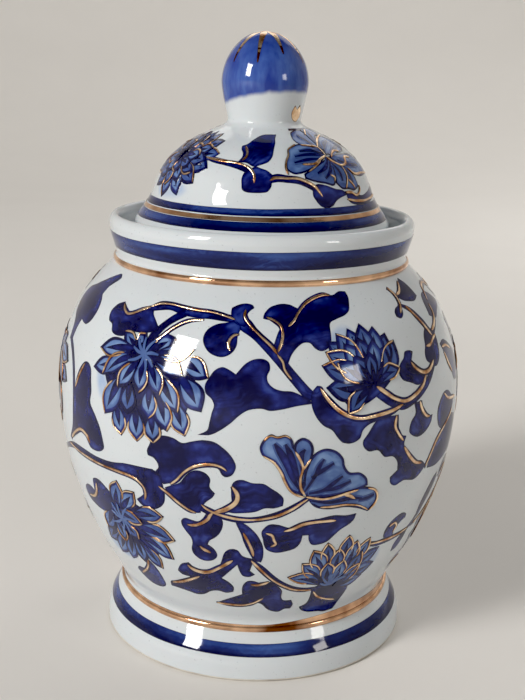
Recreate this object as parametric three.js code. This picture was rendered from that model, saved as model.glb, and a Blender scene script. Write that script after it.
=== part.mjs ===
// A lidded porcelain storage jar of the ginger jar kind: an ovoid body on a flared foot ring, with a
// galleried collar, and a domed lid with a bud knob that drops into the collar.
// Millimetres, +Z up. The origin is the centre of the foot ring, on the surface that the jar stands on.
// Both pieces are turned bodies, so each one is a closed outline of (radius, height) points.
import * as THREE from "three";

// ---- Driving dimensions ----------------------------------------------------------------------

const SEGMENTS = 48; // facets round the axis

const BELLY_RADIUS = 59.5; // the widest part of the jar
const BELLY_HEIGHT = 75.3; // how high the widest part is
const NECK_RADIUS = 42.4; // the narrowest part, under the collar
const NECK_HEIGHT = 115.4;
const WAIST_RADIUS = 41.1; // the narrowest part, above the foot
const WAIST_HEIGHT = 16.0;
const TOTAL_HEIGHT = 177.5; // to the top of the knob
const WALL = 4.0; // of the body

const FOOT_RADIUS = 45.9; // outside of the flared foot ring
const FOOT_INNER_RADIUS = 40.6; // inside of the foot ring, where it stands
const FOOT_EDGE = 1.1; // radius of the rounded edges that the foot ring stands between
const BASE_RECESS = 6.2; // how far the base is hollowed inside the foot ring
const FLOOR_HEIGHT = 10.8; // of the floor inside the jar

const LIP_RADIUS = 42.7; // of the centre line of the rounded lip
const LIP_HALF_WIDTH = 1.7;
const LIP_TOP = 126.3;
const LIP_ROUND = 2.8; // height of the rounded top of the lip
const GALLERY_HEIGHT = 120.6; // the ledge inside the collar that carries the lid
const GALLERY_RADIUS = 38.6; // where the ledge meets the collar wall
const MOUTH_RADIUS = 33.0;
const EDGE = 0.7; // radius of small rounded edges

const RING_HALF_WIDTH = 0.85; // of the two raised rings, at the neck and at the waist
const RING_RISE = 0.55;
const NECK_RING_HEIGHT = 113.6;
const WAIST_RING_HEIGHT = 13.9;

const SEAT_GAP = 0.3; // between the lid's brim and the ledge
const BRIM_RADIUS = 36.9;
const BRIM_TOP = 124.6; // top of the upright edge of the brim
const SPIGOT_RADIUS = 31.8; // the ring under the lid that centres it in the mouth
const SPIGOT_INNER_RADIUS = 28.4;
const SPIGOT_BOTTOM = 113.8;

const KNOB_RADIUS = 12.35;
const KNOB_HEIGHT = 164.2; // of its widest part
const KNOB_NECK_RADIUS = 10.5;
const KNOB_NECK_HEIGHT = 153.0;
const DOME_INSIDE_TOP = 148.4;

// ---- Outline helpers -------------------------------------------------------------------------

const point = (radius, height) => new THREE.Vector2(radius, height);

// A smooth curve through the given points, cut into the given number of steps for each gap.
function smooth(points, stepsPerGap) {
  const curve = new THREE.SplineCurve(points.map(([radius, height]) => point(radius, height)));
  return curve.getPoints((points.length - 1) * stepsPerGap);
}

// Part of an ellipse, from one angle to another in degrees: 0 points outwards and 90 points up.
function arc(radius, height, halfWidth, halfHeight, from, to, steps) {
  const points = [];
  for (let i = 0; i <= steps; i += 1) {
    const angle = THREE.MathUtils.degToRad(from + ((to - from) * i) / steps);
    points.push(point(radius + halfWidth * Math.cos(angle), height + halfHeight * Math.sin(angle)));
  }
  return points;
}

// A raised half-round ring on a wall at the given radius, followed from its lower edge to its upper edge.
const raisedRing = (radius, height) => arc(radius, height, RING_RISE, RING_HALF_WIDTH, -90, 90, 4);

// Joins stretches of outline into one list, leaving out points that repeat the one before.
function outline(...stretches) {
  const joined = [];
  for (const next of stretches.flat()) {
    const last = joined[joined.length - 1];
    if (!last || last.distanceTo(next) > 0.01) joined.push(next);
  }
  return joined;
}

// ---- The jar ---------------------------------------------------------------------------------

// The outside, from the standing edge of the foot ring up to the lip.
function jarOutside() {
  const foot = [
    [FOOT_RADIUS, FOOT_EDGE],
    [45.5, 4.6],
    [44.4, 7.5],
    [42.6, 10.6],
    [41.3, WAIST_RING_HEIGHT - RING_HALF_WIDTH],
  ];
  const belly = [
    [WAIST_RADIUS, WAIST_RING_HEIGHT + RING_HALF_WIDTH],
    [WAIST_RADIUS + 0.2, WAIST_HEIGHT + 1.2],
    [44.3, 23.4],
    [50.0, 34.0],
    [54.6, 46.0],
    [57.9, 58.5],
    [BELLY_RADIUS, BELLY_HEIGHT],
    [57.9, 89.0],
    [53.4, 100.4],
    [48.2, 107.5],
    [43.1, NECK_RING_HEIGHT - RING_HALF_WIDTH],
  ];
  const collar = [
    [NECK_RADIUS + 0.2, NECK_RING_HEIGHT + RING_HALF_WIDTH],
    [NECK_RADIUS, NECK_HEIGHT],
    [43.1, 118.0],
    [44.0, 121.0],
    [LIP_RADIUS + LIP_HALF_WIDTH, LIP_TOP - LIP_ROUND],
  ];
  return [
    ...arc(FOOT_RADIUS - FOOT_EDGE, FOOT_EDGE, FOOT_EDGE, FOOT_EDGE, -90, 0, 3),
    ...smooth(foot, 1),
    ...raisedRing(WAIST_RADIUS, WAIST_RING_HEIGHT),
    ...smooth(belly, 2),
    ...raisedRing(NECK_RADIUS + 0.3, NECK_RING_HEIGHT),
    ...smooth(collar, 1),
    ...arc(LIP_RADIUS, LIP_TOP - LIP_ROUND, LIP_HALF_WIDTH, LIP_ROUND, 0, 180, 6),
  ];
}

// The ledge in the collar, the mouth and the inside of the body, down to the middle of its floor.
function jarInside() {
  const shoulder = [
    [MOUTH_RADIUS, GALLERY_HEIGHT - EDGE],
    [MOUTH_RADIUS, 117.6],
    [35.8, 115.8],
    [41.0, 109.8],
    [49.8, 98.4],
    [53.9, 88.0],
    [BELLY_RADIUS - WALL, BELLY_HEIGHT],
    [53.9, 59.3],
    [50.7, 47.4],
    [46.2, 35.9],
    [40.6, 25.3],
    [37.6, 18.6],
    [33.5, 12.8],
    [27.0, FLOOR_HEIGHT],
  ];
  return [
    point(GALLERY_RADIUS, GALLERY_HEIGHT + EDGE),
    point(GALLERY_RADIUS - EDGE, GALLERY_HEIGHT),
    ...arc(MOUTH_RADIUS + EDGE, GALLERY_HEIGHT - EDGE, EDGE, EDGE, 90, 180, 2),
    ...smooth(shoulder, 1),
    point(0, FLOOR_HEIGHT),
  ];
}

// The recess under the base, from its middle out to the standing edge of the foot ring.
function jarUnderside() {
  return [
    point(0, BASE_RECESS),
    point(FOOT_INNER_RADIUS - 4.4, BASE_RECESS),
    point(FOOT_INNER_RADIUS - 2.6, BASE_RECESS - 0.6),
    point(FOOT_INNER_RADIUS - 1.6, BASE_RECESS - 2.2),
    ...arc(FOOT_INNER_RADIUS + FOOT_EDGE, FOOT_EDGE, FOOT_EDGE, FOOT_EDGE, 180, 270, 3),
  ];
}

// ---- The lid ---------------------------------------------------------------------------------

// The outside, from the standing edge of the brim up over the dome and the knob to the top.
function lidOutside() {
  const brimBottom = GALLERY_HEIGHT + SEAT_GAP;
  const dome = [
    [BRIM_RADIUS, BRIM_TOP],
    [35.9, 126.3],
    [33.9, 129.0],
    [32.1, 132.2],
    [30.6, 136.2],
    [28.0, 141.0],
    [22.8, 145.8],
    [16.4, 149.4],
    [12.3, 151.2],
  ];
  const knob = [
    [KNOB_NECK_RADIUS + 0.6, 151.9],
    [KNOB_NECK_RADIUS, KNOB_NECK_HEIGHT],
    [11.0, 155.8],
    [11.8, 159.4],
    [KNOB_RADIUS, KNOB_HEIGHT],
    [11.1, 169.3],
    [8.3, 173.5],
    [4.6, 176.3],
    [0, TOTAL_HEIGHT],
  ];
  return [
    ...arc(BRIM_RADIUS - EDGE, brimBottom + EDGE, EDGE, EDGE, -90, 0, 2),
    ...smooth(dome, 1),
    ...smooth(knob, 2),
  ];
}

// The hollow under the dome and the spigot ring round it, out to the underside of the brim.
function lidInside() {
  const brimBottom = GALLERY_HEIGHT + SEAT_GAP;
  const hollow = [
    [0, DOME_INSIDE_TOP],
    [8.6, 147.9],
    [16.0, 145.2],
    [22.4, 141.1],
    [26.2, 136.6],
    [28.0, 131.0],
    [SPIGOT_INNER_RADIUS, 124.0],
    [SPIGOT_INNER_RADIUS, SPIGOT_BOTTOM + EDGE],
  ];
  return [
    ...smooth(hollow, 1),
    ...arc(SPIGOT_INNER_RADIUS + EDGE, SPIGOT_BOTTOM + EDGE, EDGE, EDGE, 180, 270, 2),
    ...arc(SPIGOT_RADIUS - EDGE, SPIGOT_BOTTOM + EDGE, EDGE, EDGE, -90, 0, 2),
    point(SPIGOT_RADIUS, brimBottom - EDGE),
    point(SPIGOT_RADIUS + EDGE, brimBottom),
  ];
}

// ---- Pieces ----------------------------------------------------------------------------------

const porcelain = () =>
  new THREE.MeshStandardMaterial({ color: 0xe9edf0, roughness: 0.12, metalness: 0.0 });

// LatheGeometry turns its outline about Y, so each piece is laid over to stand along +Z. The outlines run
// with the solid on their left, which puts the faces outwards.
function turned(name, points) {
  const geometry = new THREE.LatheGeometry(points, SEGMENTS);
  geometry.rotateX(Math.PI / 2);
  const piece = new THREE.Mesh(geometry, porcelain());
  piece.name = name;
  return piece;
}

function makeJarBody() {
  return turned("jar_body", outline(jarUnderside(), jarOutside(), jarInside()));
}

function makeLid() {
  return turned("lid", outline(lidInside(), lidOutside()));
}

const jar = new THREE.Group();
jar.add(makeJarBody(), makeLid());

export default jar;
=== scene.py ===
"""Looks for a lidded blue-and-white porcelain jar with gold lines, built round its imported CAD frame.

The two porcelain pieces are turned from the outlines that the CAD model has, with finer steps. The
painting is thin closed films and low gold beads that follow the wall. It is drawn on each wall unrolled:
"across" runs round the jar to the right of its front, and "up" runs along the wall from the lowest point
of its outline, both in millimetres. The painting is made once and turned half round for the back.
"""

import math
import random

import bpy
import numpy as np
from mathutils import Matrix, Vector
from mathutils.geometry import delaunay_2d_cdt


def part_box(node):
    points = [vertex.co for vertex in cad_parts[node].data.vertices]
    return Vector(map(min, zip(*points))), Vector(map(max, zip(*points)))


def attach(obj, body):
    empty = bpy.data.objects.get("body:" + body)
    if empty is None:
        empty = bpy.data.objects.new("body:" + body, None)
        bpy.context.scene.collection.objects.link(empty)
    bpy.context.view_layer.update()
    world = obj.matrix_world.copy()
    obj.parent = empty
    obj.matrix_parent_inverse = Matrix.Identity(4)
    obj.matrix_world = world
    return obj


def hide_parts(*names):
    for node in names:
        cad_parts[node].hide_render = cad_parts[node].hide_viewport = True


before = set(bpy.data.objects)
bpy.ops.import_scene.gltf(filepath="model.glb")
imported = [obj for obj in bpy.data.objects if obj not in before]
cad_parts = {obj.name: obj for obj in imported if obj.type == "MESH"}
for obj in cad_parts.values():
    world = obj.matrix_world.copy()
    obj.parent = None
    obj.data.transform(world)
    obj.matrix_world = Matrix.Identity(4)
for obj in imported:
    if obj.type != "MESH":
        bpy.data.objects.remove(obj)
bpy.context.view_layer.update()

MM = 0.001
BODY_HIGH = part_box("jar_body")[1]
LID_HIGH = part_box("lid")[1]

# ---- Driving dimensions, in millimetres ------------------------------------------------------

BELLY_RADIUS = BODY_HIGH.x / MM
BELLY_HEIGHT = 75.3  # how high the widest part is
LIP_TOP = BODY_HIGH.z / MM
TOTAL_HEIGHT = LID_HIGH.z / MM
BRIM_RADIUS = LID_HIGH.x / MM
KNOB_RADIUS = 12.35
WALL_THICKNESS = 4.0

FOOT_RADIUS = 45.9
FOOT_INNER_RADIUS = 40.6
FOOT_EDGE = 1.1  # radius of the rounded edges that the foot ring stands between
BASE_RECESS = 6.2  # how far the base is hollowed inside the foot ring
FLOOR_HEIGHT = 10.8  # of the floor inside the jar
LIP_RADIUS = 42.7  # of the middle of the rounded lip
LIP_HALF_WIDTH = 1.7
LIP_ROUND = 2.8  # height of the lip's rounded top
LEDGE_HEIGHT = 120.6  # of the ledge in the collar that carries the lid
LEDGE_RADIUS = 39.4  # where the ledge starts to curve up into the collar
MOUTH_RADIUS = 33.0
EDGE = 0.7  # radius of small rounded edges

BRIM_BOTTOM = 120.9
SPIGOT_RADIUS = 31.8  # of the ring under the lid
SPIGOT_INNER_RADIUS = 28.4
SPIGOT_BEND = 114.5  # height at which its walls start to round off below

RING_RISE = 0.55  # of the two raised rings, at the waist and at the neck
RING_HALF_WIDTH = 0.85
WAIST_RING = (41.1, 13.9)  # radius of the wall and height
NECK_RING = (42.7, 113.6)

FOOT_BAND = (7.0, 10.3)  # heights of the two edges of a painted band
COLLAR_BAND = (117.2, 122.0)
LID_LOWER_BAND = (1.5, 4.5)  # on the lid they are measured along the wall
LID_GOLD_LINE = (4.6, 5.9)
LID_UPPER_BAND = (6.2, 8.3)
WAIST_GOLD = (0.45, 1.9)  # least width of the gilding above the waist ring, and how much wider it gets
KNOB_CAP = 7.6  # how far up the knob its blue starts
SPEARS = 9  # gold strokes that run down the knob from its tip
SPEAR_START = -2.4  # where the first of them lies, across
SPEAR_TIP = (17.5, 2.6)  # how far up the knob they end, and how much further up every second one does
SPEAR_WIDTH = (0.5, 1.9)  # at its end, and how much it gains up to the knob's tip

TURNED_SEGMENTS = 288  # facets round each porcelain piece
BAND_SEGMENTS = 360  # facets round each painted band
OUTLINE_STEPS = 9  # steps between two points of a turned outline
FILM_SPACING = 1.0  # between the inner points of a painted film
EDGE_SPACING = 0.55  # between the points of a painted edge
SHARP_EDGE = 50.0  # an edge between two faces that turn by more than this many degrees stays sharp
CORNER = 62.0  # an outline that turns by more than this at a point has a sharp tip there

# How far the top of each layer of painting stands above the wall. A film whose number in its list is
# higher lies a hair above the one before, so that no two tops share a level.
FILM_DEPTH = 0.12  # how far a film reaches into the wall below it
WASH_LIFT = 0.014
LID_WASH_LIFT = 0.015
STEM_LIFT = 0.030
BAND_LIFT = 0.035
LEAF_LIFT = 0.050
GOLD_GROUND_LIFT = 0.058  # of the dark line under a gold one
PETAL_LIFT = 0.075
PETAL_STEP = 0.012  # how much higher each petal of a bloom lies than the one before
GOLD_LIFT = 0.078
FAN_GOLD_LIFT = 0.22  # of the gold on the fan-shaped bloom
LID_GOLD_LIFT = 0.09
LID_FAN_GOLD_LIFT = 0.25
SKIN_LIFT = 0.03  # of the bare clay rings
RING_LIFT = 0.05  # of the gilding on the two raised rings
WAIST_GOLD_LIFT = 0.06
LID_GOLD_LINE_LIFT = 0.11
SPEAR_LIFT = 0.07
KNOB_PETAL_LIFT = 0.06

GOLD_RISE = 0.14  # of a gold line above its edge
GOLD_SHARE = 0.72  # of the width given for a gold line; the rest is the dark line that it lies on
GOLD_RIM = 0.3  # how far the dark line under a gold one shows on each side
BAND_SHADE = 0.5  # how much paler the top of a painted band is than its bottom

NOISE_ROUGHNESS = 0.55
GLAZE_IOR = 1.53
WHITE = (0.61, 0.65, 0.68)

FLOOR_RADIUS = 1100.0  # of its flat part
FLOOR_SWEEP = 900.0  # radius of the curve in which it turns up into the wall
BACKDROP_HEIGHT = 2400.0
CAMERA_PLACE = (0.0, -0.3277, 0.1706)  # in metres, a little above the jar's middle and close to it
CAMERA_ANGLES = (-14.68, -0.18, 1.34)  # how far it looks up, turns left and rolls, in degrees
CAMERA_LENS = 57.7  # for a picture 36 mm high
WORLD_COLOUR = (0.90, 0.945, 1.0, 1.0)
WORLD_STRENGTH = 0.185
BLACK_LEVEL = 0.016  # of the view, so that dark cobalt reads as dark as in the photograph


# ---- Curves ----------------------------------------------------------------------------------


def turned_spline(points, steps):
    """The even Catmull-Rom curve that the CAD outlines use, through (radius, height) points."""
    p = np.array([points[0], *points, points[-1]], float)
    made = []
    for i in range(1, len(p) - 2):
        for step in range(steps):
            w = step / steps
            v0 = (p[i + 1] - p[i - 1]) / 2
            v1 = (p[i + 2] - p[i]) / 2
            cubic = (2 * p[i] - 2 * p[i + 1] + v0 + v1) * w**3
            square = (-3 * p[i] + 3 * p[i + 1] - 2 * v0 - v1) * w**2
            made.append(cubic + square + v0 * w + p[i])
    made.append(p[-1])
    return np.array(made)


def arc(radius, height, half_width, half_height, start, end, steps):
    """Part of an ellipse in an outline, from one angle to another: 0 points outwards, 90 up."""
    angles = np.radians(np.linspace(start, end, steps + 1))
    return np.column_stack([radius + half_width * np.cos(angles), height + half_height * np.sin(angles)])


def round_edge(radius, height, edge, start, end, steps):
    """A rounded edge in an outline, as part of a circle."""
    return arc(radius, height, edge, edge, start, end, steps)


def brush_curve(points, spacing, closed=False):
    """A centripetal Catmull-Rom curve through points of any number of columns; the first two are a place."""
    p = np.array(points, float)
    if closed:
        p = np.vstack([p[-1], p, p[0], p[1]])
    else:
        p = np.vstack([2 * p[0] - p[1], p, 2 * p[-1] - p[-2]])
    made = []
    for p0, p1, p2, p3 in zip(p, p[1:], p[2:], p[3:]):
        gaps = [max(math.sqrt(math.hypot(*(b - a)[:2])), 1e-4) for a, b in ((p0, p1), (p1, p2), (p2, p3))]
        t1 = gaps[0]
        t2 = t1 + gaps[1]
        t3 = t2 + gaps[2]
        steps = max(1, math.ceil(gaps[1] ** 2 / spacing))
        for step in range(steps):
            t = t1 + (t2 - t1) * step / steps
            a1 = (t1 - t) / t1 * p0 + t / t1 * p1
            a2 = (t2 - t) / (t2 - t1) * p1 + (t - t1) / (t2 - t1) * p2
            a3 = (t3 - t) / (t3 - t2) * p2 + (t - t2) / (t3 - t2) * p3
            b1 = (t2 - t) / t2 * a1 + t / t2 * a2
            b2 = (t3 - t) / (t3 - t1) * a2 + (t - t1) / (t3 - t1) * a3
            made.append((t2 - t) / (t2 - t1) * b1 + (t - t1) / (t2 - t1) * b2)
    if not closed:
        made.append(p[-2])
    return np.array(made)


def hull_of(points):
    """The points that a tight string round all of them would touch, in order."""
    ordered = sorted(map(tuple, points))
    halves = []
    for run in (ordered, ordered[::-1]):
        half = []
        for p in run:
            while len(half) > 1:
                (ax, ay), (bx, by) = half[-2:]
                if (bx - ax) * (p[1] - ay) - (by - ay) * (p[0] - ax) > 0:
                    break
                half.pop()
            half.append(p)
        halves += half[:-1]
    return np.array(halves)


def inset(outline, distance):
    """A closed outline moved inwards, without the loops that this makes in its narrow places."""
    closed = np.vstack([outline[-1:], outline, outline[:1]])
    side = across_of(closed)[1:-1]
    x, y = outline[:, 0], outline[:, 1]
    turns_left = (x * np.roll(y, -1) - np.roll(x, -1) * y).sum() > 0
    moved = outline + side * (distance if turns_left else -distance)
    return moved[(distance_to(outline, moved) > 0.93 * distance) & inside(outline, moved)]


def leaf_outline(points, spacing=EDGE_SPACING):
    """A closed painted outline: smooth, apart from the points where it turns sharply."""
    p = np.array(points, float)
    before = p - np.roll(p, 1, 0)
    after = np.roll(p, -1, 0) - p
    cross = before[:, 0] * after[:, 1] - before[:, 1] * after[:, 0]
    turn = np.degrees(np.abs(np.arctan2(cross, (before * after).sum(1))))
    corners = list(np.flatnonzero(turn > CORNER))
    if not corners:
        return brush_curve(p, spacing, closed=True)
    stretches = []
    for start, end in zip(corners, corners[1:] + [corners[0] + len(p)]):
        run = [p[i % len(p)] for i in range(start, end + 1)]
        stretches.append(brush_curve(run, spacing)[:-1])
    return np.vstack(stretches)


def across_of(line):
    """Unit vectors square to a line in the unrolled plane, pointing to its left."""
    along = np.gradient(line[:, :2], axis=0)
    along /= np.maximum(np.linalg.norm(along, axis=1), 1e-9)[:, None]
    return np.column_stack([-along[:, 1], along[:, 0]])


def ribbon(points):
    """The outline of a brush stroke through (across, up, width) points."""
    line = brush_curve(points, EDGE_SPACING)
    side = across_of(line) * line[:, 2:3] / 2
    return np.vstack([line[:, :2] - side, (line[:, :2] + side)[::-1]])


# ---- The walls that the painting lies on -----------------------------------------------------

FOOT_OUTLINE = [(FOOT_RADIUS, FOOT_EDGE), (45.5, 4.6), (44.4, 7.5), (42.6, 10.6), (41.3, 13.05)]
BELLY_OUTLINE = [
    (41.1, 14.75), (41.3, 17.2), (44.3, 23.4), (50.0, 34.0), (54.6, 46.0), (57.9, 58.5),
    (BELLY_RADIUS, BELLY_HEIGHT), (57.9, 89.0), (53.4, 100.4), (48.2, 107.5), (43.1, 112.75),
]
COLLAR_OUTLINE = [(42.6, 114.45), (42.4, 115.4), (43.1, 118.0), (44.0, 121.0), (44.4, 123.5)]
DOME_OUTLINE = [
    (BRIM_RADIUS, 124.6), (35.9, 126.3), (33.9, 129.0), (32.1, 132.2), (30.6, 136.2),
    (28.0, 141.0), (22.8, 145.8), (16.4, 149.4), (12.3, 151.2),
]
KNOB_OUTLINE = [
    (11.1, 151.9), (10.5, 153.0), (11.0, 155.8), (11.8, 159.4), (KNOB_RADIUS, 164.2),
    (11.1, 169.3), (8.3, 173.5), (4.6, 176.3), (0.0, TOTAL_HEIGHT),
]


class Wall:
    """A turned wall, unrolled at a given radius. place() finds points and outward normals on it."""

    def __init__(self, outline, radius, body):
        self.points = turned_spline(outline, 24)
        self.radius = radius
        self.body = body
        gaps = np.linalg.norm(np.diff(self.points, axis=0), axis=1)
        self.up = np.concatenate([[0], np.cumsum(gaps)])
        self.length = self.up[-1]
        along = np.gradient(self.points, self.up, axis=0)
        along /= np.linalg.norm(along, axis=1)[:, None]
        self.normals = np.column_stack([along[:, 1], -along[:, 0]])

    def look_up(self, up, table, column):
        return np.interp(up, self.up, table[:, column])

    def radius_at(self, up):
        return self.look_up(up, self.points, 0)

    def place(self, across, up, lift, turn=0.0):
        """Points in metres and normals, for arrays of places on the wall and a height above it."""
        angle = np.asarray(across) / self.radius + turn
        normal_out = self.look_up(up, self.normals, 0)
        normal_up = self.look_up(up, self.normals, 1)
        norm = np.hypot(normal_out, normal_up)
        normal_out, normal_up = normal_out / norm, normal_up / norm
        out = self.look_up(up, self.points, 0) + lift * normal_out
        height = self.look_up(up, self.points, 1) + lift * normal_up
        points = np.column_stack([out * np.sin(angle), -out * np.cos(angle), height]) * MM
        normals = np.column_stack([normal_out * np.sin(angle), -normal_out * np.cos(angle), normal_up])
        return points, normals


BELLY = Wall(BELLY_OUTLINE, BELLY_RADIUS, "jar")
FOOT = Wall(FOOT_OUTLINE, FOOT_RADIUS, "jar")
COLLAR = Wall(COLLAR_OUTLINE, 44.0, "jar")
DOME = Wall(DOME_OUTLINE, BRIM_RADIUS, "lid")
KNOB = Wall(KNOB_OUTLINE, KNOB_RADIUS, "lid")


# ---- Materials -------------------------------------------------------------------------------


class Shader:
    """A material's node tree, with short calls for the nodes that the finishes share."""

    def __init__(self, name):
        self.material = bpy.data.materials.new(name)
        self.material.use_nodes = True
        self.nodes = self.material.node_tree.nodes
        self.links = self.material.node_tree.links
        self.surface = self.nodes["Principled BSDF"]
        self.position = self.nodes.new("ShaderNodeTexCoord").outputs["Object"]

    def link(self, source, target):
        self.links.new(source, target)

    def attribute(self, name):
        node = self.nodes.new("ShaderNodeAttribute")
        node.attribute_name = name
        return node.outputs["Fac"]

    def noise(self, size_mm, detail=3.0, stretch=None):
        """Noise with features of about the given size; stretch scales it along X, Y and Z."""
        place = self.position
        if stretch:
            mapping = self.nodes.new("ShaderNodeMapping")
            mapping.inputs["Scale"].default_value = stretch
            self.link(place, mapping.inputs["Vector"])
            place = mapping.outputs["Vector"]
        node = self.nodes.new("ShaderNodeTexNoise")
        node.inputs["Scale"].default_value = 1.0 / (size_mm * MM)
        node.inputs["Detail"].default_value = detail
        node.inputs["Roughness"].default_value = NOISE_ROUGHNESS
        self.link(place, node.inputs["Vector"])
        return node.outputs["Fac"]

    def line_noise(self, source, size, detail=2.0):
        """Noise along one number, such as the distance across a brush stroke."""
        node = self.nodes.new("ShaderNodeTexNoise")
        node.noise_dimensions = "1D"
        node.inputs["Scale"].default_value = 1.0 / size
        node.inputs["Detail"].default_value = detail
        self.link(source, node.inputs["W"])
        return node.outputs["Fac"]

    def remap(self, source, low, high, to_low=0.0, to_high=1.0, smooth=False):
        node = self.nodes.new("ShaderNodeMapRange")
        node.interpolation_type = "SMOOTHSTEP" if smooth else "LINEAR"
        node.inputs["From Min"].default_value = low
        node.inputs["From Max"].default_value = high
        node.inputs["To Min"].default_value = to_low
        node.inputs["To Max"].default_value = to_high
        self.link(source, node.inputs["Value"])
        return node.outputs["Result"]

    def math(self, operation, a, b):
        node = self.nodes.new("ShaderNodeMath")
        node.operation = operation
        for socket, value in zip(node.inputs, (a, b)):
            if isinstance(value, (int, float)):
                socket.default_value = value
            else:
                self.link(value, socket)
        return node.outputs[0]

    def mix(self, factor, a, b):
        node = self.nodes.new("ShaderNodeMix")
        node.data_type = "RGBA"
        if isinstance(factor, float):
            node.inputs[0].default_value = factor
        else:
            self.link(factor, node.inputs[0])
        for socket, value in zip((node.inputs[6], node.inputs[7]), (a, b)):
            if isinstance(value, tuple):
                socket.default_value = (*value, 1.0)
            else:
                self.link(value, socket)
        return node.outputs[2]

    def bump(self, height, depth_mm):
        node = self.nodes.new("ShaderNodeBump")
        node.inputs["Strength"].default_value = 1.0
        node.inputs["Distance"].default_value = depth_mm * MM
        self.link(height, node.inputs["Height"])
        self.link(node.outputs["Normal"], self.surface.inputs["Normal"])

    def set(self, **values):
        for name, value in values.items():
            socket = self.surface.inputs[name.replace("_", " ")]
            if isinstance(value, bpy.types.NodeSocket):
                self.link(value, socket)
            else:
                socket.default_value = (*value, 1.0) if isinstance(value, tuple) else value


def glaze_surface(shader):
    """The clear glaze that lies over the porcelain and its cobalt painting alike."""
    ripple = shader.noise(9.0, detail=1.0)
    peel = shader.noise(1.6, detail=1.0)
    height = shader.math("ADD", ripple, shader.math("MULTIPLY", peel, 0.10))
    shader.bump(height, 0.035)
    wear = shader.noise(14.0, detail=4.0)
    shader.set(Roughness=shader.remap(wear, 0.35, 0.7, 0.035, 0.09), IOR=GLAZE_IOR)


def porcelain_finish():
    shader = Shader("porcelain")
    cloud = shader.noise(26.0, detail=2.0)
    white = shader.mix(cloud, tuple(0.97 * part for part in WHITE), tuple(1.03 * part for part in WHITE))
    speck = shader.remap(shader.noise(0.55, detail=0.0), 0.79, 0.83)
    freckled = shader.mix(shader.math("MULTIPLY", speck, 0.35), white, (0.20, 0.22, 0.27))
    shader.set(Base_Color=freckled, Subsurface_Weight=0.06, Subsurface_Scale=0.002)
    glaze_surface(shader)
    return shader.material


def brushed_wash(shader, size_mm, stretch):
    """A number that says how thin the cobalt lies, about 0.5 on the whole: wavy brush streaks over soft
    pools, with a paler strip a little way inside the painted edge."""
    pool = shader.noise(size_mm, detail=2.0, stretch=stretch)
    worn = shader.noise(1.3, detail=3.0)
    sway = shader.math("MULTIPLY", shader.noise(7.0, detail=2.0), 9.0)
    streak = shader.line_noise(shader.math("ADD", shader.attribute("grain"), sway), 1.3)
    patchy = shader.remap(shader.noise(9.0, detail=1.0), 0.4, 0.6, 0.1, 0.5)
    uneven = shader.math("MULTIPLY", shader.math("SUBTRACT", streak, 0.5), patchy)
    edge = shader.attribute("edge")
    strip = shader.math("SUBTRACT", shader.remap(edge, 0.3, 1.1), shader.remap(edge, 1.1, 2.8))
    strip = shader.math("MULTIPLY", strip, shader.remap(pool, 0.35, 0.65, 0.0, 0.25))
    wash = shader.math("ADD", pool, shader.math("MULTIPLY", shader.math("SUBTRACT", worn, 0.5), 0.16))
    wash = shader.math("ADD", wash, shader.math("ADD", uneven, strip))
    return shader.math("ADD", wash, shader.attribute("tone"))


def cobalt_finish(name, deep, middle, pale, rim, rim_width=0.5, stretch=None):
    """Cobalt under glaze: dark where it pools at its rim, streaked by the brush, paler where it is thin."""
    shader = Shader(name)
    wash = brushed_wash(shader, 6.0, stretch)
    colour = shader.mix(shader.remap(wash, 0.42, 0.78), deep, middle)
    colour = shader.mix(shader.remap(wash, 0.70, 1.15), colour, pale)
    pooled = shader.remap(shader.attribute("edge"), 0.1 * rim_width, rim_width, 0.6, 0.0, smooth=True)
    shader.set(Base_Color=shader.mix(pooled, colour, rim))
    glaze_surface(shader)
    return shader.material


def knob_finish():
    """The thinner cobalt of the knob, brushed from the tip down, which fades out into the white below."""
    shader = Shader("cobalt_knob")
    downwards = shader.noise(3.0, detail=3.0, stretch=(1.0, 1.0, 0.22))
    pool = shader.noise(12.0, detail=1.0)
    wash = shader.math("ADD", shader.math("MULTIPLY", downwards, 0.7), shader.math("MULTIPLY", pool, 0.6))
    colour = shader.mix(shader.remap(wash, 0.50, 0.82), (0.016, 0.040, 0.26), (0.085, 0.165, 0.46))
    edge = shader.attribute("edge")
    height = shader.remap(edge, 4.0, 14.0, 0.0, 0.45, smooth=True)
    colour = shader.mix(height, colour, (0.014, 0.034, 0.24))
    ragged = shader.math("ADD", edge, shader.math("MULTIPLY", downwards, 1.2))
    fade = shader.remap(ragged, 0.5, 2.2, smooth=True)
    shader.set(Base_Color=shader.mix(fade, WHITE, colour))
    glaze_surface(shader)
    return shader.material


def gilding_finish(name, bright, brown, wear_and_reflection_mm, smooth, rough, rim_mm, pitted_mm):
    """Bright gold fired over the glaze, thinner and browner towards its rim, with brown patches that are
    partly rubbed wear and partly a painted reflection of a dark room.
    """
    shader = Shader(name)
    # rubbed sets where the gold turns brown: partly rubbed wear, partly painted reflection of a dark room
    rubbed = shader.noise(wear_and_reflection_mm, detail=3.0)
    fine = shader.noise(0.7, detail=2.0)
    gold = shader.mix(shader.remap(rubbed, 0.40, 0.66), bright, brown)
    rim = shader.remap(shader.attribute("edge"), 0.0, rim_mm)
    shader.set(Base_Color=shader.mix(rim, (0.16, 0.065, 0.022), gold), Metallic=1.0)
    shader.set(Roughness=shader.remap(rubbed, 0.3, 0.75, smooth, rough))
    shader.bump(shader.math("ADD", fine, shader.math("MULTIPLY", rubbed, 0.8)), pitted_mm)
    return shader.material


def bare_foot_finish():
    """Unglazed biscuit porcelain, rubbed grey where it stands."""
    shader = Shader("bare_foot")
    cloud = shader.noise(6.0, detail=4.0)
    grain = shader.noise(0.25, detail=2.0)
    rubbed = shader.mix(shader.remap(cloud, 0.35, 0.7), (0.70, 0.67, 0.61), (0.52, 0.48, 0.43))
    shader.set(Base_Color=rubbed, Roughness=0.82)
    shader.bump(grain, 0.06)
    return shader.material


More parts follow.
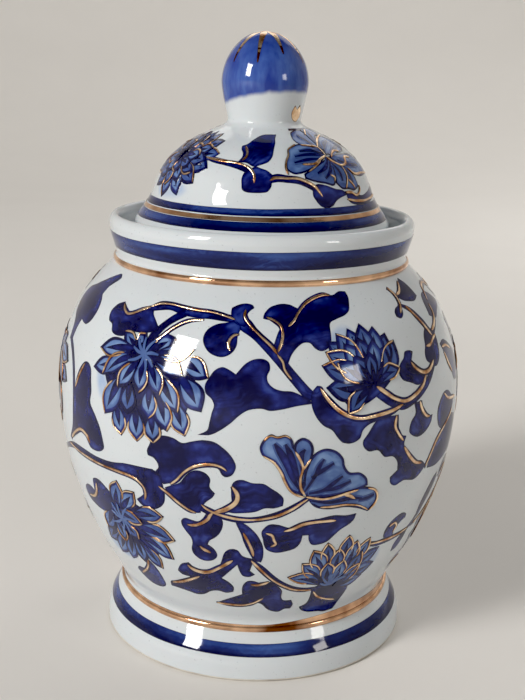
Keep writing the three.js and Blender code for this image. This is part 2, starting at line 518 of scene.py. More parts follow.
def wash_finish():
    """A thin wash of cobalt that fades out into the white body."""
    shader = Shader("cobalt_wash")
    thick = shader.math("MULTIPLY", shader.remap(shader.attribute("edge"), 0.0, 2.4, smooth=True), 0.75)
    uneven = shader.remap(shader.noise(5.0, detail=2.0), 0.3, 0.7, 0.55, 1.0)
    shader.set(Base_Color=shader.mix(shader.math("MULTIPLY", thick, uneven), WHITE, (0.24, 0.36, 0.60)))
    glaze_surface(shader)
    return shader.material


PORCELAIN = porcelain_finish()
DARK_BLUES = ((0.0035, 0.004, 0.046), (0.014, 0.021, 0.165), (0.05, 0.09, 0.33), (0.003, 0.003, 0.035))
COBALT = cobalt_finish("cobalt_dark", *DARK_BLUES)
BAND_BLUES = ((0.003, 0.0045, 0.046), (0.013, 0.027, 0.155), (0.05, 0.11, 0.34), (0.003, 0.003, 0.035))
BAND_COBALT = cobalt_finish("cobalt_band", *BAND_BLUES, 0.35, (0.22, 0.22, 1.0))
PALE_COBALT = cobalt_finish(
    "cobalt_pale", (0.045, 0.085, 0.26), (0.115, 0.20, 0.42), (0.21, 0.315, 0.54), (0.045, 0.08, 0.25), 0.3
)
KNOB_COBALT = knob_finish()
COBALT_WASH = wash_finish()
# In both gildings the brown patches are partly rubbed wear and partly painted reflection of a dark room; on
# the rings they are large and nearly dark.
GILDING = gilding_finish("gilding", (1.0, 0.78, 0.54), (0.46, 0.22, 0.095), 3.6, 0.13, 0.28, 0.16, 0.07)
RING_GILDING = gilding_finish("gilding_ring", (1.0, 0.65, 0.42), (0.22, 0.075, 0.03), 15.0, 0.04, 0.12,
                              0.05, 0.015)
BARE = bare_foot_finish()


# ---- Meshes ----------------------------------------------------------------------------------


def make_object(name, vertices, faces, material, body, normals=None, numbers=None):
    """A mesh object in the frame, riding on its body; numbers are the values that its finish reads."""
    mesh = bpy.data.meshes.new(name)
    mesh.from_pydata([tuple(v) for v in vertices], [], faces)
    for key, values in (numbers or {}).items():
        mesh.attributes.new(key, "FLOAT", "POINT").data.foreach_set("value", np.asarray(values, np.float32))
    mesh.materials.append(material)
    mesh.shade_smooth()
    if normals is None:
        mesh.set_sharp_from_angle(angle=math.radians(SHARP_EDGE))
    else:
        mesh.normals_split_custom_set_from_vertices([tuple(n) for n in normals])
    piece = bpy.data.objects.new(name, mesh)
    bpy.context.scene.collection.objects.link(piece)
    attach(piece, body)
    return piece


def turned_mesh(outline, segments):
    """Vertices and faces of an outline turned round the axis. An outline that starts and ends on the axis,
    or closes on itself, gives a closed mesh."""
    rings, vertices, faces = [], [], []
    for radius, height in outline:
        if radius < 1e-6:
            rings.append([len(vertices)] * segments)
            vertices.append((0.0, 0.0, height * MM))
            continue
        rings.append(list(range(len(vertices), len(vertices) + segments)))
        for step in range(segments):
            angle = 2 * math.pi * step / segments
            vertices.append((radius * MM * math.sin(angle), -radius * MM * math.cos(angle), height * MM))
    for low, high in zip(rings, rings[1:]):
        for step in range(segments):
            after = (step + 1) % segments
            corners = [low[step], low[after], high[after], high[step]]
            face = [c for i, c in enumerate(corners) if c != corners[i - 1]]
            if len(face) > 2:
                faces.append(face)
    return vertices, faces


def raised_ring(wall_radius, height, steps=10):
    """The outline of a half-round ring on a wall, from its lower edge to its upper edge."""
    return arc(wall_radius, height, RING_RISE, RING_HALF_WIDTH, -90, 90, steps)


def jar_outline():
    """From the middle of the recessed base, out under the foot, up the outside and down the inside."""
    shoulder = [
        (MOUTH_RADIUS, LEDGE_HEIGHT - EDGE), (MOUTH_RADIUS, 117.6), (35.8, 115.8), (41.0, 109.8),
        (49.8, 98.4), (53.9, 88.0), (BELLY_RADIUS - WALL_THICKNESS, BELLY_HEIGHT), (53.9, 59.3),
        (50.7, 47.4), (46.2, 35.9), (40.6, 25.3), (37.6, 18.6), (33.5, 12.8), (27.0, FLOOR_HEIGHT),
    ]
    recess = [(36.2, BASE_RECESS), (38.0, BASE_RECESS - 0.6), (39.0, 4.0), (FOOT_INNER_RADIUS, FOOT_EDGE)]
    return np.vstack([
        [(0.0, BASE_RECESS), (18.0, BASE_RECESS)],
        turned_spline(recess, 5),
        round_edge(FOOT_INNER_RADIUS + FOOT_EDGE, FOOT_EDGE, FOOT_EDGE, 180, 270, 6)[1:],
        round_edge(FOOT_RADIUS - FOOT_EDGE, FOOT_EDGE, FOOT_EDGE, -90, 0, 6),
        turned_spline(FOOT_OUTLINE, OUTLINE_STEPS)[1:],
        raised_ring(*WAIST_RING)[1:],
        turned_spline(BELLY_OUTLINE, 2 * OUTLINE_STEPS)[1:],
        raised_ring(*NECK_RING)[1:],
        turned_spline(COLLAR_OUTLINE, OUTLINE_STEPS)[1:],
        arc(LIP_RADIUS, LIP_TOP - LIP_ROUND, LIP_HALF_WIDTH, LIP_ROUND, 0, 180, 20)[1:],
        [(LEDGE_RADIUS + 1.0, LEDGE_HEIGHT + 2.0)],
        round_edge(LEDGE_RADIUS, LEDGE_HEIGHT + 0.9, 0.9, 0, -90, 5),
        round_edge(MOUTH_RADIUS + EDGE, LEDGE_HEIGHT - EDGE, EDGE, 90, 180, 5),
        turned_spline(shoulder, OUTLINE_STEPS // 2 + 1)[1:],
        [(0.0, FLOOR_HEIGHT)],
    ])


def lid_outline():
    """From the middle of the hollow under the dome, down inside the spigot, round the brim and up."""
    hollow = [
        (0.0, 148.4), (8.6, 147.9), (16.0, 145.2), (22.4, 141.1), (26.2, 136.6), (28.0, 131.0),
        (SPIGOT_INNER_RADIUS, 124.0), (SPIGOT_INNER_RADIUS, SPIGOT_BEND),
    ]
    return np.vstack([
        turned_spline(hollow, OUTLINE_STEPS // 2 + 1),
        round_edge(SPIGOT_INNER_RADIUS + EDGE, SPIGOT_BEND, EDGE, 180, 270, 5)[1:],
        round_edge(SPIGOT_RADIUS - EDGE, SPIGOT_BEND, EDGE, -90, 0, 5),
        [(SPIGOT_RADIUS, BRIM_BOTTOM - EDGE)],
        round_edge(SPIGOT_RADIUS + EDGE, BRIM_BOTTOM - EDGE, EDGE, 180, 90, 4),
        round_edge(BRIM_RADIUS - EDGE, BRIM_BOTTOM + EDGE, EDGE, -90, 0, 5),
        turned_spline(DOME_OUTLINE, OUTLINE_STEPS),
        turned_spline(KNOB_OUTLINE, OUTLINE_STEPS),
    ])


def make_porcelain():
    vertices, faces = turned_mesh(jar_outline(), TURNED_SEGMENTS)
    body = make_object("porcelain_body", vertices, faces, PORCELAIN, "jar")
    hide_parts("jar_body")
    vertices, faces = turned_mesh(lid_outline(), TURNED_SEGMENTS)
    lid = make_object("porcelain_lid", vertices, faces, PORCELAIN, "lid")
    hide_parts("lid")


def outward(outline, distance):
    """An open outline moved to its right by a distance, which is away from the clay."""
    return outline[:, :2] - across_of(outline) * distance


def make_skin(name, outline, lift, material, body):
    """A thin closed ring of material along an open outline, from just inside the wall to lift above it."""
    outer = outward(outline, lift)
    inner = outward(outline, -FILM_DEPTH)
    closed = np.vstack([outer, inner[::-1], outer[:1]])
    vertices, faces = turned_mesh(closed, BAND_SEGMENTS)
    make_object(name, vertices, faces, material, body, numbers={"edge": [1.0] * len(vertices)})


def make_bare_rings():
    """The rings that stood or sealed in the kiln, and so carry no glaze."""
    foot = np.vstack([
        round_edge(FOOT_INNER_RADIUS + FOOT_EDGE, FOOT_EDGE, FOOT_EDGE, 190, 270, 6),
        round_edge(FOOT_RADIUS - FOOT_EDGE, FOOT_EDGE, FOOT_EDGE, -90, -10, 6),
    ])
    make_skin("bare_foot_ring", foot, SKIN_LIFT, BARE, "jar")
    ledge = np.array([(radius, LEDGE_HEIGHT) for radius in (LEDGE_RADIUS - 0.2, 37.0, MOUTH_RADIUS + 1.5)])
    make_skin("bare_ledge", ledge, SKIN_LIFT, BARE, "jar")
    spigot = np.vstack([
        round_edge(SPIGOT_INNER_RADIUS + EDGE, SPIGOT_BEND, EDGE, 180, 270, 5),
        round_edge(SPIGOT_RADIUS - EDGE, SPIGOT_BEND, EDGE, -90, 0, 5),
    ])
    make_skin("bare_spigot_rim", spigot, SKIN_LIFT, BARE, "lid")


# ---- Painted films and gold lines ------------------------------------------------------------


def inside(outline, points):
    """Which points lie inside a closed outline."""
    x, y = points[:, 0:1], points[:, 1:2]
    x0, y0 = outline[:, 0], outline[:, 1]
    x1, y1 = np.roll(x0, -1), np.roll(y0, -1)
    spans = (y0 > y) != (y1 > y)
    rise = np.where(y1 == y0, 1.0, y1 - y0)
    return (spans & (x < (x1 - x0) * (y - y0) / rise + x0)).sum(1) % 2 == 1


def distance_to(outline, points):
    """How far each point is from a closed outline."""
    a = outline[None]
    d = np.roll(outline, -1, 0)[None] - a
    p = points[:, None]
    t = np.clip(((p - a) * d).sum(2) / np.maximum((d * d).sum(2), 1e-12), 0, 1)
    return np.linalg.norm(p - a - t[..., None] * d, axis=2).min(1)


def filled(outline, spacing):
    """Points and triangles that fill a closed outline, with inner points on a staggered grid."""
    low, high = outline.min(0), outline.max(0)
    rows = []
    for row, up in enumerate(np.arange(low[1], high[1], spacing * 0.87)):
        across = np.arange(low[0] + (row % 2) * spacing / 2, high[0], spacing)
        rows.append(np.column_stack([across, np.full(len(across), up)]))
    grid = np.vstack(rows)
    grid = grid[inside(outline, grid)]
    if len(grid):
        grid = grid[distance_to(outline, grid) > 0.45 * spacing]
    points = [Vector(p) for p in np.vstack([outline, grid])]
    ring = [(i, (i + 1) % len(outline)) for i in range(len(outline))]
    made = delaunay_2d_cdt(points, ring, [], 1, 1e-6)
    return np.array([tuple(p) for p in made[0]]), [tuple(f) for f in made[2]]


class Painting:
    """Painted shapes of one finish on one wall, gathered into one mesh object."""

    def __init__(self, wall, turn=0.0, seed=1):
        self.wall = wall
        self.turn = turn
        self.random = random.Random(seed)
        self.vertices, self.normals, self.faces = [], [], []
        self.numbers = {"edge": [], "tone": [], "grain": []}

    def add(self, points, normals, faces, edge, tone, grain):
        start = len(self.vertices)
        self.vertices.extend(points)
        self.normals.extend(normals)
        self.faces.extend(tuple(start + i for i in face) for face in faces)
        for key, values in (("edge", edge), ("tone", tone), ("grain", grain)):
            self.numbers[key].extend(values)

    def film(self, outline, lift, tone=0.0):
        """A closed film that fills an outline, its top at lift above the wall."""
        outline = np.asarray(outline, float)
        places, faces = filled(outline, FILM_SPACING)
        if len(faces) == 0:
            return
        edge = distance_to(outline, places)
        centred = places - places.mean(0)
        main = np.linalg.svd(centred, full_matrices=False)[2][0]
        grain = centred @ np.array([-main[1], main[0]]) + self.random.uniform(0, 90)
        tones = np.full(len(places), tone + self.random.uniform(-0.06, 0.06))
        first = np.array([places[i] for i in faces[0]])
        spin = np.cross(first[1] - first[0], first[2] - first[0])
        if spin < 0:
            faces = [face[::-1] for face in faces]
        top, normals = self.wall.place(places[:, 0], places[:, 1], lift, self.turn)
        bottom, _ = self.wall.place(places[:, 0], places[:, 1], -FILM_DEPTH, self.turn)
        count = len(places)
        seen = {(a, b) for face in faces for a, b in zip(face, face[1:] + face[:1])}
        rim = [(a, b) for a, b in seen if (b, a) not in seen]
        under = [tuple(count + i for i in reversed(face)) for face in faces]
        sides = [(b, a, a + count, b + count) for a, b in sorted(rim)]
        both = [np.concatenate([v, v]) for v in (edge, tones, grain)]
        self.add([*top, *bottom], [*normals, *(-normals)], [*faces, *under, *sides], *both)

    def line(self, points, width, lift):
        """A low rounded bead of gold that thins out to both ends, through (across, up) points."""
        line = brush_curve(points, EDGE_SPACING)
        length = np.concatenate([[0], np.cumsum(np.linalg.norm(np.diff(line, axis=0), axis=1))])
        ends = np.minimum(length, length[-1] - length)
        width = width * GOLD_SHARE
        swell = np.sqrt(np.clip((ends + 0.05) / (1.6 * width), 0, 1))
        wave = 1 + 0.13 * np.sin(length / 2.3 + self.random.uniform(0, 6))
        half = width / 2 * swell * wave
        side = across_of(line)
        angles = np.radians(np.linspace(180, 0, 7))
        rings, normals, edges = [], [], []
        for angle in angles:
            place = line + side * (half * math.cos(angle))[:, None]
            rise = GOLD_RISE * math.sin(angle) * swell
            top, normal = self.wall.place(place[:, 0], place[:, 1], lift + rise, self.turn)
            beside = place[:, :2] + side
            lean, _ = self.wall.place(beside[:, 0], beside[:, 1], lift + rise, self.turn)
            sideways = (lean - top) / MM
            slope = GOLD_RISE / max(width / 2, 0.1) * math.cos(angle) / max(math.sin(angle), 0.35)
            normal = normal + sideways * slope
            rings.append(top)
            normals.append(normal / np.linalg.norm(normal, axis=1)[:, None])
            edges.append(half * (1 - abs(math.cos(angle))))
        for angle in (angles[-1], angles[0]):
            place = line + side * (half * math.cos(angle))[:, None]
            low, normal = self.wall.place(place[:, 0], place[:, 1], -FILM_DEPTH, self.turn)
            rings.append(low)
            normals.append(-normal)
            edges.append(half * 0)
        count, across = len(line), len(rings)
        faces = []
        for j in range(across):
            k = (j + 1) % across
            for i in range(count - 1):
                faces.append((j * count + i, j * count + i + 1, k * count + i + 1, k * count + i))
        faces.append(tuple(j * count for j in range(across)))
        faces.append(tuple(j * count + count - 1 for j in reversed(range(across))))
        zeros = np.zeros(count * across)
        self.add(np.vstack(rings), np.vstack(normals), faces, np.concatenate(edges), zeros, zeros)

    def make(self, name, material, slot):
        return make_object(
            name, self.vertices, self.faces, material, self.wall.body, self.normals, self.numbers
        )


def petal_outline(base, tip, width, grow=0.0, bend=0.0, blunt=0.68):
    """The outline of a petal from its base to its pointed tip, widest past the middle for a blunt under 1.
    grow widens and lengthens it, and bend bows its middle to the left by that share of its length."""
    base, tip = np.array(base, float), np.array(tip, float)
    length = np.linalg.norm(tip - base)
    along = (tip - base) / length
    left = np.array([-along[1], along[0]])
    steps = max(8, int(length / 0.7))
    t = np.linspace(0, 1, steps + 1)
    shape = np.sin(math.pi * t ** (1 / blunt)) ** np.where(t ** (1 / blunt) > 0.5, 1.08, 0.7)
    centre = base + np.outer(t * length, along) + np.outer(np.sin(math.pi * t) * bend * length, left)
    half = shape * (width / 2 + grow)
    centre = centre + np.outer((t - 0.5) * 2.4 * grow, along)
    right_side = centre - np.outer(half, left)
    left_side = centre + np.outer(half, left)
    return np.vstack([right_side, left_side[-2:0:-1]])


def petal_side(base, tip, width, side, start, bend=0.0, blunt=0.68):
    """Points along one side of a petal, from a share of its length to its tip."""
    outline = petal_outline(base, tip, width, 0.0, bend, blunt)
    half = len(outline) // 2
    edge = outline[: half + 1] if side == "r" else np.vstack([outline[:1], outline[:half - 1:-1]])
    first = int(start * half)
    run = edge[first::3]
    return np.vstack([run, edge[-1:]]) if not np.allclose(run[-1], edge[-1]) else run


# ---- The painting ----------------------------------------------------------------------------
# Every list below is in millimetres on the unrolled wall. LEAVES are closed outlines, STEMS are brush
# strokes with a width at each point, GOLD lines have a width, and a petal is (base, tip, width, bend,
# gold sides).

BELLY_LEAVES = [
    # top row, from the left
    [(-60, 103.5), (-62, 104.5), (-65, 103.5), (-70, 101), (-75, 98.5), (-80.5, 96), (-81.5, 92), (-79, 88.5),
     (-76, 87), (-74, 85), (-73, 81), (-70, 82), (-69.5, 85.5), (-68.5, 88), (-66, 87.5), (-63.5, 87.5),
     (-61, 89.5), (-60.3, 92.5), (-61.5, 95), (-64, 97), (-63.5, 99.5), (-60.5, 102.5)],
    [(-48.7, 97.3), (-51.5, 96), (-52.8, 93.5), (-51.5, 91), (-49.5, 90.3), (-48.3, 88.5), (-46.5, 87.8),
     (-43, 88), (-40, 89.5), (-36, 90), (-31.5, 91), (-30.8, 92), (-33.2, 94.3), (-34.5, 95.5), (-35.2, 96.8),
     (-38, 96.6), (-41, 95.4), (-44, 94.4), (-46.5, 95)],
    [(-10, 95.5), (-13, 94.8), (-15.5, 93), (-16.2, 90.5), (-14.8, 88), (-13, 86.8), (-10, 86.3),
     (-7.5, 87.5), (-6.3, 89.5), (-6.2, 92), (-5.5, 94.5), (-7, 96)],
    [(-9, 98), (-9, 99.8), (-7, 100.8), (-4.5, 101.3), (-2.3, 100.8), (-1.8, 100), (-3, 99.2), (-3.8, 98.2),
     (-3.2, 96.5), (-4.5, 94.5), (-7.5, 95.5)],
    [(1, 97), (1.3, 98.3), (3, 100.2), (5, 101), (7.5, 101.4), (10, 101), (12.5, 100), (15, 101.8),
     (18, 103.2), (22, 104), (25.5, 103.5), (28.5, 104.5), (31, 104.3), (31.2, 102.5), (30.3, 100),
     (29.5, 98.5), (27.5, 97.3), (24, 96.3), (21.7, 95.3), (21.2, 92), (20.8, 90), (19.5, 88.5), (17.5, 88),
     (15.8, 88.8), (14.5, 90.2), (12.5, 90.3), (10.5, 89), (9, 87.3), (8, 85.2), (6, 86), (4, 89),
     (4.5, 91), (5.3, 93), (6, 94.5), (5.8, 96), (4.5, 97), (2.5, 96.7)],
    [(51.2, 103.8), (52.8, 101.3), (52.6, 98), (51, 94.8), (49, 93.9), (47.4, 94.6), (47.5, 95.8),
     (49, 97.1), (51, 97.8), (51.6, 99.5), (51.2, 101.6), (50, 103)],
    [(53, 100), (55.5, 98.6), (58, 98), (62, 97.5), (66, 98.5), (65.5, 100.5), (64.5, 103), (62, 105.4),
     (60, 104.2), (57, 101.6)],
    # second row
    [(13, 76), (9, 78), (6, 78.3), (4, 79), (2.5, 80.5), (2.3, 82), (3, 83.5), (2.8, 85.3), (1.5, 86.2),
     (-1, 86.2), (-3.5, 85), (-6, 82.2), (-8, 83.3), (-9.8, 83.8), (-11.8, 82.8), (-13, 81), (-14, 79),
     (-13.7, 77), (-12, 75.5), (-11.3, 74), (-11.8, 72), (-12.3, 69.5), (-12.8, 67.5), (-15.3, 66),
     (-12, 66.3), (-9, 68), (-6.5, 70), (-5, 71.5), (-2.5, 73.2), (1, 73.7), (3, 73.2), (6, 73.5),
     (10, 74.3), (14.4, 74.8)],
    [(15.5, 79.3), (14, 77.5), (13.9, 74.5), (15, 71.5), (17, 69), (19.5, 67.5), (21, 65.5), (22.5, 64),
     (25, 63.5), (27.5, 64.5), (28.3, 66.5), (30, 67.8), (33, 68.5), (38, 69.3), (42, 70.9), (38, 71),
     (33, 70.5), (28, 70.3), (25, 71), (21.5, 73), (18.5, 76), (16.8, 79)],
    [(41.5, 80), (42.5, 82), (44.5, 83.5), (45.5, 85), (48, 85), (49, 84.5), (47.6, 82.4), (50, 80.4),
     (53, 78.6), (52, 76.2), (49, 75.4), (46, 76.5), (42.5, 78)],
    [(54.7, 83), (56, 85), (57, 87.6), (59, 89.6), (62, 88.6), (64.5, 86.8), (64.3, 84), (62.6, 80.2),
     (59.5, 78.5), (57, 79.6), (54.8, 81)],
    [(66, 92), (67.6, 95.8), (70, 98), (75, 98.4), (80, 96.5), (84, 93.5), (80, 92.4), (75, 91.6),
     (70.5, 90.4)],
    [(46.5, 71), (47, 68), (45.2, 66), (44.6, 63.4), (46.4, 61.8), (49, 61), (52, 61.7), (54.5, 63.5),
     (55.5, 65.8), (53, 66.2), (51, 67.8), (50, 71)],
    [(58.5, 66), (60, 68.5), (63, 70.3), (66, 70.2), (69.5, 68), (72, 65.6), (70, 62.8), (66, 61),
     (62, 60), (59.4, 62)],
    [(-57, 78), (-55, 78.3), (-53, 77), (-52, 74), (-51.3, 71), (-51.5, 68), (-49, 65), (-47, 62),
     (-46, 58.5), (-45.8, 56.5), (-47.5, 55), (-50, 54.5), (-52.5, 54.8), (-53.7, 56.2), (-56, 58.4),
     (-58.6, 58), (-61, 56.5), (-62.3, 60), (-61.8, 65), (-61, 70), (-59.5, 75)],
    [(33, 68.8), (30, 65.5), (28.5, 63.5), (28.8, 62), (30.5, 60.5), (33.5, 60.3), (36, 58), (39, 57.5),
     (41, 55.5), (41.5, 53), (39, 51.3), (39.5, 49.5), (41.5, 48.3), (45, 49), (50, 48), (53.5, 49.5),
     (54.8, 51.2), (52.5, 53), (49, 54.2), (46, 57), (43, 60), (43.5, 62.5), (42, 63), (40.5, 65),
     (40.2, 69)],
    [(56.4, 49.6), (57, 53), (60, 56.5), (65, 60), (70, 62), (76, 60.4), (80, 56), (78, 51.6), (70, 49.5),
     (62, 48.8)],
    # third row
    [(-33, 50.6), (-31, 47.5), (-33, 45.5), (-35, 44), (-33.5, 42.5), (-30, 42), (-27.5, 43), (-25.7, 45),
     (-25.2, 48), (-25.6, 50.4), (-26, 53), (-28.5, 54.3), (-31, 54), (-34, 53)],
    [(-28, 63.5), (-25, 64.5), (-22, 64.3), (-19.5, 63.3), (-17, 64), (-14, 64.7), (-11, 64.5), (-8.5, 63),
     (-6.5, 61), (-5.3, 58.5), (-5.5, 57), (-6.5, 55.5), (-8, 55), (-9, 55.7), (-9.7, 57), (-11.5, 58),
     (-13.5, 57.9), (-16, 57), (-18.5, 56), (-20.5, 53.5), (-23, 51.5), (-25.4, 50.6), (-27.5, 54.2),
     (-26.6, 55.3), (-26.8, 56.5), (-28, 57.8), (-29.7, 58.2), (-29.9, 59.5), (-29, 61.5)],
    [(-25, 49.8), (-22.5, 51), (-20.5, 52), (-19, 54), (-17, 55.8), (-15, 56.2), (-13, 55.5), (-12, 54),
     (-12.2, 51.8), (-10.8, 50), (-11.5, 48.8), (-13.3, 47.2), (-14.5, 45.5), (-15, 43.7), (-16.2, 43.5),
     (-19, 44.5), (-22, 46.5), (-24.5, 48.5)],
    [(-6, 53.5), (-5, 54.3), (-3.5, 54.5), (-1, 53.7), (2, 53.5), (4, 52.2), (6, 50.8), (7.3, 49.2),
     (7.3, 47), (5, 46.3), (2.5, 46.3), (0, 45.2), (-3, 44.7), (-6, 44.5), (-8, 44.8), (-6.5, 46.5),
     (-6.5, 50), (-6.5, 52)],
    [(-60, 41), (-57, 41.4), (-55, 40.6), (-54.6, 43), (-54, 44.8), (-51, 45.5), (-47.5, 44), (-45, 42),
     (-46.5, 38), (-48, 35.6), (-52, 34.6), (-57, 34.8), (-61.4, 36.4), (-62, 39)],
    # lower part
    [(-12.3, 44), (-10, 43.3), (-9, 42), (-9, 40), (-10, 37.5), (-11.5, 35.8), (-13, 34.7), (-13.8, 33.2),
     (-12.5, 32.3), (-11.5, 31), (-11.2, 29.3), (-12.5, 27.7), (-14.8, 27), (-17, 27.5), (-18.7, 29.2),
     (-19, 31), (-18.5, 33), (-18.7, 34.8), (-20, 36.8), (-21, 38.8), (-21, 40.3), (-19.8, 41.3),
     (-18, 41), (-16, 40.8), (-14.5, 42), (-13.3, 43.8)],
    [(-5.5, 42.5), (-2.5, 41), (0, 38.5), (1.5, 36), (2.5, 33), (2.5, 29.5), (2, 27.8), (0, 28.5),
     (-1.5, 31), (-3, 34.5), (-4, 38), (-5.2, 41)],
    [(1.8, 38.5), (2.5, 40), (4, 41.2), (6.5, 41), (9.5, 40), (12, 40.5), (15, 41.8), (18, 42.3),
     (22, 42.8), (26, 42.2), (29.2, 42.3), (28.8, 40.3), (27.5, 39), (25, 37.5), (23, 35.5), (21.5, 34),
     (19, 33.3), (16.8, 33.5), (15.7, 35), (15.3, 37), (13.6, 37), (13.2, 34.5), (12, 32.8), (9, 31.7),
     (6, 31.4), (3.5, 32.5), (2.7, 34), (2.3, 36)],
    [(43, 33), (44, 35), (46, 36.5), (49, 37.3), (51.6, 36.2), (52, 34.8), (50, 34), (48.5, 32.5),
     (48, 31), (48.4, 29.2), (45.6, 28.8), (43.4, 30.4)],
    [(60, 33), (59.6, 36.6), (61, 40.6), (63.5, 44), (66.4, 45.4), (67, 42.6), (65.6, 38.6), (63.4, 34.8),
     (61.6, 31.6)],
    [(52.4, 22), (52, 25), (54.6, 28.4), (57.4, 28.6), (57, 25.4), (55, 22.4)],
    [(-46.5, 15), (-45, 16.5), (-41, 17), (-38.5, 19.5), (-37.5, 22.4), (-35, 19.4), (-34, 15.5),
     (-34.2, 12), (-37, 10.3), (-42, 10.5), (-45, 12.6)],
    [(-8.8, 31), (-7, 32.3), (-5, 32), (-3.5, 30), (0, 29), (-0.6, 27), (-1.3, 24.5), (0.3, 23),
     (-1.5, 22), (-3.5, 22.3), (-4.5, 24), (-5.2, 26.6), (-10.5, 20.8), (-8, 19), (-6.8, 17.2), (-7, 15),
     (-9.5, 14.2), (-12.5, 14.8), (-15, 14.2), (-18, 12.2), (-21, 11.5), (-24, 12), (-28, 12.5),
     (-31.3, 12.7), (-30.6, 15), (-27, 16), (-23, 18.3), (-21.6, 19.4), (-24.5, 19.8), (-25.7, 21),
     (-25, 22.5), (-23.5, 24.3), (-21, 25.3), (-19, 23.6), (-15, 23.3), (-11, 25.6)],
    [(-3.5, 18.5), (-2, 20.2), (0, 20.3), (2, 19.5), (4, 19.5), (6, 20), (8.5, 17.5), (9.8, 15.5),
     (10, 12.5), (11, 11), (14, 10.8), (15, 8.5), (14.3, 6.8), (12, 6.8), (10, 5.7), (7.5, 6), (5, 7.3),
     (3.5, 9), (2, 9.9), (-2, 9.5), (-8, 8.6), (-14, 8.8), (-10, 11), (-7, 12.5), (-4, 14), (-4, 16.5)],
    [(20.5, 15.6), (21, 11), (20.5, 8.5), (17.8, 7), (19, 5.5), (22, 4.2), (27, 3.5), (30, 2.8), (34.4, 3),
     (36, 7), (37, 11.5), (35, 15), (31, 16.8), (26, 17.4)],
]

BELLY_STEMS = [
    [(-43, 94.4, 1.0), (-37, 96.8, 1.8), (-33, 98, 2.2), (-29, 98.4, 2.0), (-25, 97.9, 2.6),
     (-20, 97.3, 2.4), (-15, 97.1, 2.0), (-10, 96.8, 2.2), (-6, 96.4, 2.0)],
    [(-23.5, 97.2, 2.4), (-26, 95.8, 2.4), (-28.5, 93.8, 2.2), (-30.6, 91.5, 2.4), (-32, 89.5, 2.8),
     (-33, 87, 2.2)],
    [(-8, 97, 2.6), (-4.5, 95.3, 4.0), (-1, 92.4, 2.7), (2.5, 89.2, 2.7), (5.8, 85.7, 2.7), (9, 81.9, 2.7),
     (12, 78.4, 2.8), (14.2, 76, 3.0)],
    [(32, 77, 2.4), (35, 74.6, 2.4), (38, 72.5, 2.2), (42, 71.0, 2.2), (46, 71.6, 2.0), (50, 73.2, 2.0),
     (54, 75.8, 2.2), (58, 79.6, 2.2)],
    [(52.8, 97.4, 1.2), (56, 95.4, 2.0), (59, 91.8, 2.2), (62.4, 87.6, 2.2), (65.5, 88.6, 2.0),
     (69, 90.6, 2.0)],
    [(-86, 45.4, 1.2), (-78, 47.0, 1.4), (-71, 49.8, 1.6), (-64, 51.8, 2.0), (-57, 52.2, 1.8),
     (-50, 51.9, 1.8), (-43, 52, 2.2), (-38, 52.4, 3.2), (-33, 52.4, 3.8), (-28.5, 52.2, 4.4)],
    [(-72, 82, 1.6), (-67, 79.2, 1.6), (-63.4, 75, 1.6), (-61.6, 70, 1.6), (-61.2, 65, 1.6),
     (-62.6, 58, 1.5), (-66, 53.4, 1.4)],
    [(-16, 45.6, 1.2), (-13, 44.3, 1.8), (-9, 43.2, 1.9), (-4, 42.4, 1.9), (1, 42.9, 1.8), (6, 44.4, 1.8),
     (10.5, 46.6, 1.8), (14.2, 49, 1.6)],
    [(-0.6, 28.4, 1.2), (2.4, 25.4, 1.9), (6.4, 21.2, 2.0), (10.2, 18.2, 2.0), (14.2, 16.1, 2.0),
     (18, 15.2, 1.9), (22, 15.2, 1.6)],
    [(37, 29.8, 1.8), (41, 28.8, 2.0), (45, 28.6, 2.0), (52, 28.8, 1.8), (57, 29.4, 1.6), (61, 33.2, 1.6)],
    [(54.6, 50.2, 1.6), (57, 53.4, 1.6), (60.4, 57.4, 1.6), (65, 60.6, 1.6), (70.6, 64, 1.4)],
]

